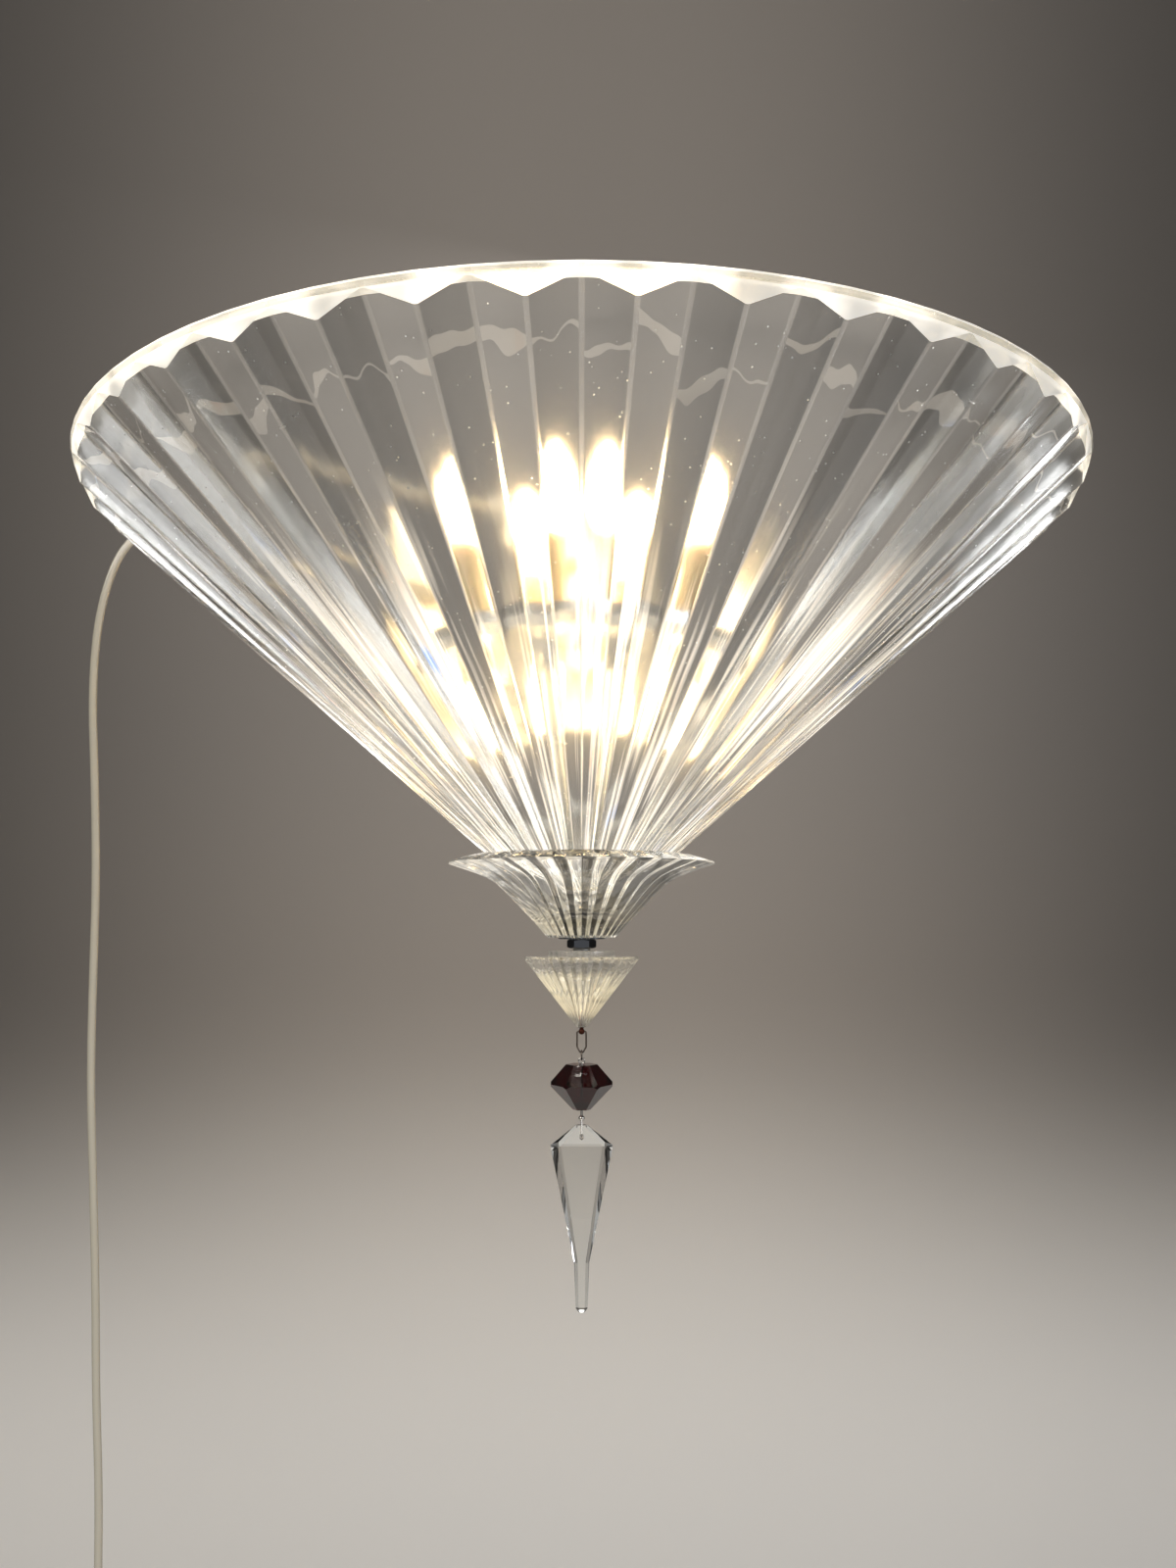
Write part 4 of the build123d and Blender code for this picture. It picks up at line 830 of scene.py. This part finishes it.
class SCONCE_OT_lower_glass(bpy.types.Operator):
    """The flared dish, the clear disc and the small fluted cone"""

    bl_idname = "sconce.lower_glass"
    bl_label = "Dish, disc and cone"

    def execute(self, context):
        dish = grid_mesh("flared_dish", dish_grid(), wrap_rows=True, wrap_columns=True)
        settle(dish, "crystal", "lower_dish", finish="cut")
        dish.data.materials.append(finish_of("dish"))
        # Faces that look sideways or down take the dish's painted glow and painted shade; the rest
        # stays clear cut crystal.
        paint_faces(dish, lambda radius, place, normal: (normal[:, 2] < 0.3)
                    & (radius > 19 * MM) & (np.abs(normal[:, 2]) < 0.995))
        cone = grid_mesh("fluted_cone", cone_grid(), wrap_rows=True, wrap_columns=True)
        settle(cone, "crystal", "small_cone", finish="cone")
        under, over = low("spacer_disc").z, high("spacer_disc").z
        disc_r, ease = 18.5 * MM, 0.5 * MM
        profile = [(BORE_R, under), (disc_r - ease, under)]
        profile += bend((disc_r - ease, under + ease), ease, -90, 0, 4)
        profile += bend((disc_r - ease, over - ease), ease, 0, 90, 4)
        profile += [(BORE_R, over)]
        disc = turned("clear_disc", profile)
        # The clear disc is satin crystal with a faint painted glow.
        settle(disc, "crystal", "spacer_disc", finish="sawn_and_glow")
        return {"FINISHED"}


# --------------------------------------------------------------------- lamps
LAMP_INSET = 0.995             # lamp glass keeps just inside its solid


class SCONCE_OT_lamps(bpy.types.Operator):
    """Cream candle sleeves, the lit candle lamps and the two small lamps under the tray"""

    bl_idname = "sconce.lamps"
    bl_label = "Lamps"

    def execute(self, context):
        for i in (1, 2, 3):
            self.sleeve(i)
            self.candle(i)
            dress(f"lamp_holder_{i}", "holder")
            dress(f"bulb_cap_{i}", "brass")
        for i in (1, 2):
            self.capsule(i)
            dress(f"capsule_holder_{i}", "holder")
        return {"FINISHED"}

    @staticmethod
    def sleeve(i):
        """A thin tube with a rolled top lip."""
        name = f"candle_sleeve_{i}"
        foot, top, outer, at = span(name)
        wall = 1.0 * MM
        profile = [(outer, foot)] + bend((outer - wall / 2, top - wall / 2), wall / 2, 0, 180, 9)
        profile += [(outer - wall, foot)]
        tube = turned(f"candle_tube_{i}", profile, 48, (at.x, at.y))
        settle(tube, "sleeve_cream", name, finish="sleeve")

    @staticmethod
    def candle(i):
        """A flame shape: radius grows from the neck, is widest low down, and closes at the tip."""
        name = f"candle_bulb_{i}"
        foot, top, wide, at = span(name)
        t = np.linspace(0, 1, 30)
        belly, neck = 0.42, 6.9 * MM
        grow = neck + (wide - neck) * np.sin(np.clip(t / belly, 0, 1) * math.pi / 2) ** 1.15
        close = wide * np.cos(np.clip((t - belly) / (1 - belly), 0, 1) * math.pi / 2) ** 0.82
        radius = np.where(t < belly, grow, close)
        profile = [(0, foot)] + list(zip(radius * LAMP_INSET, foot + (top - foot) * t))
        profile[-1] = (0, top)
        lamp = turned(f"candle_lamp_{i}", profile, 40, (at.x, at.y))
        settle(lamp, "bulb_glass", name, finish="lamp")

    @staticmethod
    def capsule(i):
        """A small tubular lamp with a domed end."""
        name = f"capsule_lamp_{i}"
        foot, top, outer, at = span(name)
        radius = outer * LAMP_INSET
        profile = [(0, top), (radius, top)]
        profile += bend((0, foot + radius), radius, 0, -90, 10)
        lamp = turned(f"capsule_glow_{i}", profile, 32, (at.x, at.y))
        settle(lamp, "bulb_glass", name, finish="capsule")


# ------------------------------------------------------------------ hardware
def hexagon_grid(name):
    """A chamfered hexagon nut: the flats' radius, held in by a cone at both ends."""
    under, over = low(name).z, high(name).z
    flat = (high(name).y - low(name).y) / 2
    angle = np.linspace(0, TURN, 6 * 16, endpoint=False) + math.pi / 6
    hexagon = flat / np.cos((angle + math.pi / 6) % (math.pi / 3) - math.pi / 6)
    rows = []
    for drop in (0.0, 0.3, 0.6, 1.0):
        cone = flat * 0.97 + drop * MM * 1.9
        rows.append((np.minimum(hexagon, cone), under + drop * MM))
    rows += [(r, over - (z - under)) for r, z in rows[::-1]]
    bore = BORE_R * 1.02
    return stacked(angle, [(bore, under)] + rows + [(bore, over)])


class SCONCE_OT_hardware(bpy.types.Operator):
    """The threaded tube, nuts and washers on the axis"""

    bl_idname = "sconce.hardware"
    bl_label = "Rod, nuts and washers"

    def execute(self, context):
        for name in ("dish_nut", "inner_nut", "tray_nut", "arm_nut"):
            nut = grid_mesh(f"{name}_hexagon", hexagon_grid(name), wrap_rows=True,
                            wrap_columns=True, sharp_deg=20)
            # The dish's nut takes the darker chrome, as painted shade.
            settle(nut, "chrome", name, finish="chrome_painted_shade" if name == "dish_nut" else "chrome")
        for name in ("dish_washer", "inner_washer", "tray_washer"):
            under, over, rim, _ = span(name)
            edge = (over - under) / 2
            profile = [(BORE_R, under)] + bend((rim - edge, under + edge), edge, -90, 90, 7)
            profile += [(BORE_R, over)]
            # The dish's washer takes the darker chrome, as painted shade.
            settle(turned(f"{name}_ring", profile), "chrome", name,
                   finish="chrome_painted_shade" if name == "dish_washer" else "chrome")
        self.rod()
        for name in ("inner_gasket", "neck_gasket"):
            dress(name, "rubber")
        return {"FINISHED"}

    @staticmethod
    def rod(pitch=1.0 * MM, depth=0.35 * MM):
        """A threaded tube: the crest climbs one pitch a turn, with straight flanks."""
        name = "threaded_rod"
        foot, top, outer, _ = span(name)
        bore = 3.0 * MM
        angle = np.linspace(0, TURN, 20, endpoint=False)
        z = np.arange(foot + 0.5 * MM, top - 0.5 * MM, pitch / 3)
        phase = (z[:, None] / pitch + angle / TURN) % 1
        crest = list(zip(outer - depth * np.abs(2 * phase - 1), z))
        root = outer - depth - 0.3 * MM
        rows = [(0.0, foot), (root, foot)] + crest + [(root, top), (bore, top)]
        rows += [(bore, foot + 4 * MM), (0.0, foot + 4 * MM)]
        rod = grid_mesh("threaded_tube", stacked(angle, rows), wrap_columns=True, sharp_deg=40)
        settle(rod, "zinc", name, finish="zinc")


# ------------------------------------------------------------------- pendant
class SCONCE_OT_pendant(bpy.types.Operator):
    """The dark pin, the wire links, the ruby bead and the spear drop"""

    bl_idname = "sconce.pendant"
    bl_label = "Pendant"

    def execute(self, context):
        dress("cone_pin", "copper")
        dress("bead_pin", "wire")
        wire = circle(0.45 * MM, 12)
        ring_at = middle("jump_ring")
        t = np.linspace(0, TURN, 40, endpoint=False)
        ring_r = 2.6 * MM
        path = np.stack([0 * t + ring_at.x, ring_at.y + ring_r * np.cos(t),
                         ring_at.z + ring_r * np.sin(t)], -1)
        ring = swept("split_ring", path, wire, (1, 0, 0), closed=True, sharp_deg=60)
        settle(ring, "pendant_wire", "jump_ring", body="ring", finish="dark_wire")
        dress("pendant_link", "dark_wire")
        dress("drop_hook", "wire")
        dress("cut_bead", "ruby")
        dress("cut_drop", "cut")
        return {"FINISHED"}


# ---------------------------------------------------------------------- cord
def coil_ends():
    """Ends of the coil's half turns, as (side offset, layer), worked out by a loop."""
    ends = [(-COIL_R, 0)]
    reach, side = COIL_R, 1
    for _ in range(COIL_IN):
        reach -= COIL_PITCH / 2
        ends.append((side * reach, 0))
        side = -side
    ends.append((side * reach, 1))
    for _ in range(COIL_OUT):
        reach += COIL_PITCH / 2
        side = -side
        ends.append((side * reach, 1))
    return ends


def coil_points():
    """Half circles between the ends, alternately below and above."""
    ends = coil_ends()
    points = []
    for i, ((a, layer_a), (b, layer_b)) in enumerate(zip(ends, ends[1:])):
        below = -1 if i % 2 == 0 else 1
        half, centre = (b - a) / 2, (a + b) / 2
        for k in range(COIL_POINTS):
            t = math.pi * k / COIL_POINTS
            layer = layer_a + (layer_b - layer_a) * k / COIL_POINTS
            points.append((COIL_CENTRE[0] + centre - half * math.cos(t),
                           CORD_Y - layer * COIL_LAYER,
                           COIL_CENTRE[1] + below * abs(half) * math.sin(t)))
    last = ends[-1]
    points.append((COIL_CENTRE[0] + last[0], CORD_Y - COIL_LAYER, COIL_CENTRE[1]))
    return points


def spline_line(points, name):
    """The smooth line of a NURBS spline with those control points, as an array of points."""
    curve = bpy.data.curves.new(name, "CURVE")
    curve.dimensions = "3D"
    curve.resolution_u = 8
    spline = curve.splines.new("NURBS")
    spline.points.add(len(points) - 1)
    spline.points.foreach_set("co", [c for p in points for c in (*p, 1.0)])
    spline.order_u = 3
    spline.use_endpoint_u = True
    thing = bpy.data.objects.new(name, curve)
    bpy.context.scene.collection.objects.link(thing)
    bpy.context.view_layer.update()
    mesh = bpy.data.meshes.new_from_object(thing)
    line = np.empty(len(mesh.vertices) * 3)
    mesh.vertices.foreach_get("co", line)
    bpy.data.meshes.remove(mesh)
    bpy.data.objects.remove(thing)
    bpy.data.curves.remove(curve)
    return line.reshape(-1, 3)


def flex_section():
    """A twin flex: two round cores side by side in one skin, waisted between them."""
    t = np.linspace(0, TURN, FLEX_SIDES, endpoint=False)
    radius = CORD_R * (0.80 + 0.20 * np.cos(2 * t))
    return np.stack([radius * np.cos(t), radius * np.sin(t)], -1)


class SCONCE_OT_cord(bpy.types.Operator):
    """The clear twin flex, its tie and its plug"""

    bl_idname = "sconce.cord"
    bl_label = "Cord and plug"

    def execute(self, context):
        drop = coil_points()[-1]
        tail = [(drop[0], drop[1], drop[2] - d * MM) for d in (5.0, 18.8)]
        tail += [(drop[0] + 1.2 * MM, drop[1], drop[2] - d * MM) for d in (36.3, 51.0)]
        line = spline_line(CORD_ROUTE + coil_points() + tail, "route")
        keep = np.concatenate([[True], np.linalg.norm(np.diff(line, axis=0), axis=1) > 1e-6])
        line = line[keep]
        flex = swept("twin_flex", line, flex_section(), (0, 1, 0), sharp_deg=70)
        self.map_along(flex, len(line) + 2, FLEX_SIDES)
        settle(flex, "cord_clear", "cord_lead", "cord_coil", "cord_tail", finish="flex")
        dress("cord_tie", "tie")
        dress("plug_body", "plug")
        dress("plug_pins", "pins")
        return {"FINISHED"}

    @staticmethod
    def map_along(flex, rows, columns):
        """A UV map: across is the way round the section, along is the way down the cord."""
        mesh = flex.data
        layer = mesh.uv_layers.new(name="along")
        loops = np.empty(len(mesh.loops), np.int32)
        mesh.loops.foreach_get("vertex_index", loops)
        uv = np.stack([(loops % columns) / columns, (loops // columns) / rows], -1)
        layer.data.foreach_set("uv", uv.ravel())


# ------------------------------------------------------------ carried pieces
class SCONCE_OT_fixing(bpy.types.Operator):
    """Finishes for the plate, arm, tray and wiring that the construction carries over"""

    bl_idname = "sconce.fixing"
    bl_label = "Plate, arm and wiring"

    def execute(self, context):
        for name, finish in (
            ("wall_plate", "plate"), ("support_arm", "bracket"), ("lamp_tray", "bracket"),
            ("arm_screws", "zinc"), ("terminal_cover", "housing"), ("terminal_block", "nylon"),
            ("terminal_liner", "card"), ("cable_gland", "gland"), ("feed_cable", "feed"),
        ):
            dress(name, finish)
        return {"FINISHED"}


# --------------------------------------------------------------------- stage
def soft_lamp(name, place, aim, size, watts, colour):
    """A square soft lamp that faces a point."""
    data = bpy.data.lights.new(name, "AREA")
    data.shape, data.size, data.energy = "SQUARE", size, watts
    data.color = linear(colour)[:3]
    lamp = bpy.data.objects.new(name, data)
    lamp.location = place
    lamp.rotation_euler = (Vector(aim) - Vector(place)).to_track_quat("-Z", "Y").to_euler()
    bpy.context.scene.collection.objects.link(lamp)


class SCONCE_OT_stage(bpy.types.Operator):
    """Pale sweep, soft lamps, world and camera"""

    bl_idname = "sconce.stage"
    bl_label = "Stage and camera"

    def execute(self, context):
        self.sweep(context.scene.sconce_stage)
        self.lights(context.scene.sconce_stage)
        self.world()
        self.camera()
        context.scene.view_settings.view_transform = "Standard"
        return {"FINISHED"}

    @staticmethod
    def sweep(stage):
        """Floor and backdrop in one: a flat, a quarter turn and an upright, swept across."""
        turn_r, half, front, height = 0.7, 4.0, -3.2, 3.6
        floor, back = stage.floor_z, stage.backdrop_y
        line = [(front, floor)]
        line += bend((back - turn_r, floor + turn_r), turn_r, -90, 0, 24)
        line += [(back, floor + height)]
        line = np.array(line)
        x = np.array([-half, half])
        grid = np.stack([x[None] + 0 * line[:, :1], line[:, :1] + 0 * x, line[:, 1:] + 0 * x], -1)
        thing = grid_mesh("studio_sweep", grid, sharp_deg=60)
        pale, mid, deep = linear("#e6e3de"), linear("#9a938c"), linear("#53504d")
        material, tree, shader, place = start("painted_sweep_matt", pale, Roughness=0.9)
        x, _, z = node(tree, "SeparateXYZ", {"Vector": place}).node.outputs
        away = node(tree, "Math", {0: x}, operation="ABSOLUTE")
        side, rise = (
            node(tree, "MapRange", {"Value": value, "From Min": near, "From Max": far},
                 interpolation_type="SMOOTHSTEP")
            for value, near, far in ((away, 0.1, 1.5), (z, floor, floor + 0.9)))
        both = node(tree, "Math", {0: side, 1: rise}, operation="MULTIPLY")
        wall = node(tree, "Mix", {0: rise, 6: pale, 7: mid}, data_type="RGBA")
        tone = node(tree, "Mix", {0: both, 6: wall, 7: deep}, data_type="RGBA")
        fill(shader, {"Base Color": tone})
        thing.data.materials.append(material)

    @staticmethod
    def lights(stage):
        """Key, fill and back lamps, all aimed at the light's own middle."""
        aim = (0, AXIS_Y, -0.10)
        soft_lamp("key", (-1.5, -1.7, 1.3), aim, 1.1, stage.key_watts, "#fffaf2")
        soft_lamp("fill", (1.8, -1.3, 0.4), aim, 0.9, stage.fill_watts, "#f4f7ff")
        soft_lamp("back", (0.3, 1.2, 1.5), aim, 0.9, stage.fill_watts, "#ffffff")

    @staticmethod
    def world():
        """An even grey room, darker to the sides so that clear glass shows its edges."""
        world = bpy.data.worlds.new("studio_room")
        bpy.context.scene.world = world
        world.use_nodes = True
        tree = world.node_tree
        place = node(tree, "TexCoord")
        x, y, _ = node(tree, "SeparateXYZ", {"Vector": place}).node.outputs
        side = node(tree, "Math", {0: x}, operation="ABSOLUTE")
        ramp = node(tree, "MapRange", {
            "Value": side, "From Min": 0.2, "From Max": 0.8, "To Min": 0.74, "To Max": 0.16})
        ahead = node(tree, "MapRange", {
            "Value": y, "From Min": -0.9, "From Max": 0.3, "To Min": 0.5, "To Max": 1.0})
        level = node(tree, "Math", {0: ramp, 1: ahead}, operation="MULTIPLY")
        fill(tree.nodes["Background"], {"Strength": level, "Color": linear("#fdfbf8")})

    @staticmethod
    def camera():
        """Level with the lower dish, with the small shift that the photograph's framing needs."""
        data = bpy.data.cameras.new("camera")
        data.sensor_width = SENSOR
        data.lens = FOCAL_PX / IMAGE_HEIGHT * SENSOR
        data.shift_x = (IMAGE_WIDTH / 2 - AXIS_PX) / IMAGE_HEIGHT
        data.shift_y = (HORIZON_PX - IMAGE_HEIGHT / 2) / IMAGE_HEIGHT
        camera = bpy.data.objects.new("camera", data)
        camera.location = (0, CAMERA_Y, CAMERA_Z)
        camera.rotation_euler = (math.pi / 2, 0, 0)
        bpy.context.scene.collection.objects.link(camera)
        bpy.context.scene.camera = camera


class SCONCE_PT_panel(bpy.types.Panel):
    """Lists the sconce's builders"""

    bl_label = "Crystal wall sconce"
    bl_space_type = "VIEW_3D"
    bl_region_type = "UI"
    bl_category = "Sconce"

    def draw(self, context):
        for operator in OPERATORS:
            self.layout.operator(operator.bl_idname)
        for group in (context.scene.sconce_look, context.scene.sconce_stage):
            for key in group.__annotations__:
                self.layout.prop(group, key)


OPERATORS = (
    SCONCE_OT_stage,
    SCONCE_OT_cord,
    SCONCE_OT_fixing,
    SCONCE_OT_hardware,
    SCONCE_OT_lamps,
    SCONCE_OT_shade,
    SCONCE_OT_lower_glass,
    SCONCE_OT_pendant,
)
CLASSES = (SconceLook, SconceStage) + OPERATORS + (SCONCE_PT_panel,)


def register():
    for each in CLASSES:
        bpy.utils.register_class(each)
    bpy.types.Scene.sconce_look = bpy.props.PointerProperty(type=SconceLook)
    bpy.types.Scene.sconce_stage = bpy.props.PointerProperty(type=SconceStage)


def unregister():
    del bpy.types.Scene.sconce_stage
    del bpy.types.Scene.sconce_look
    for each in reversed(CLASSES):
        bpy.utils.unregister_class(each)


def main():
    register()
    bpy.ops.sconce.stage()
    bpy.ops.sconce.cord()
    bpy.ops.sconce.fixing()
    bpy.ops.sconce.hardware()
    bpy.ops.sconce.lamps()
    bpy.ops.sconce.shade()
    bpy.ops.sconce.lower_glass()
    bpy.ops.sconce.pendant()


if __name__ == "__main__":
    main()
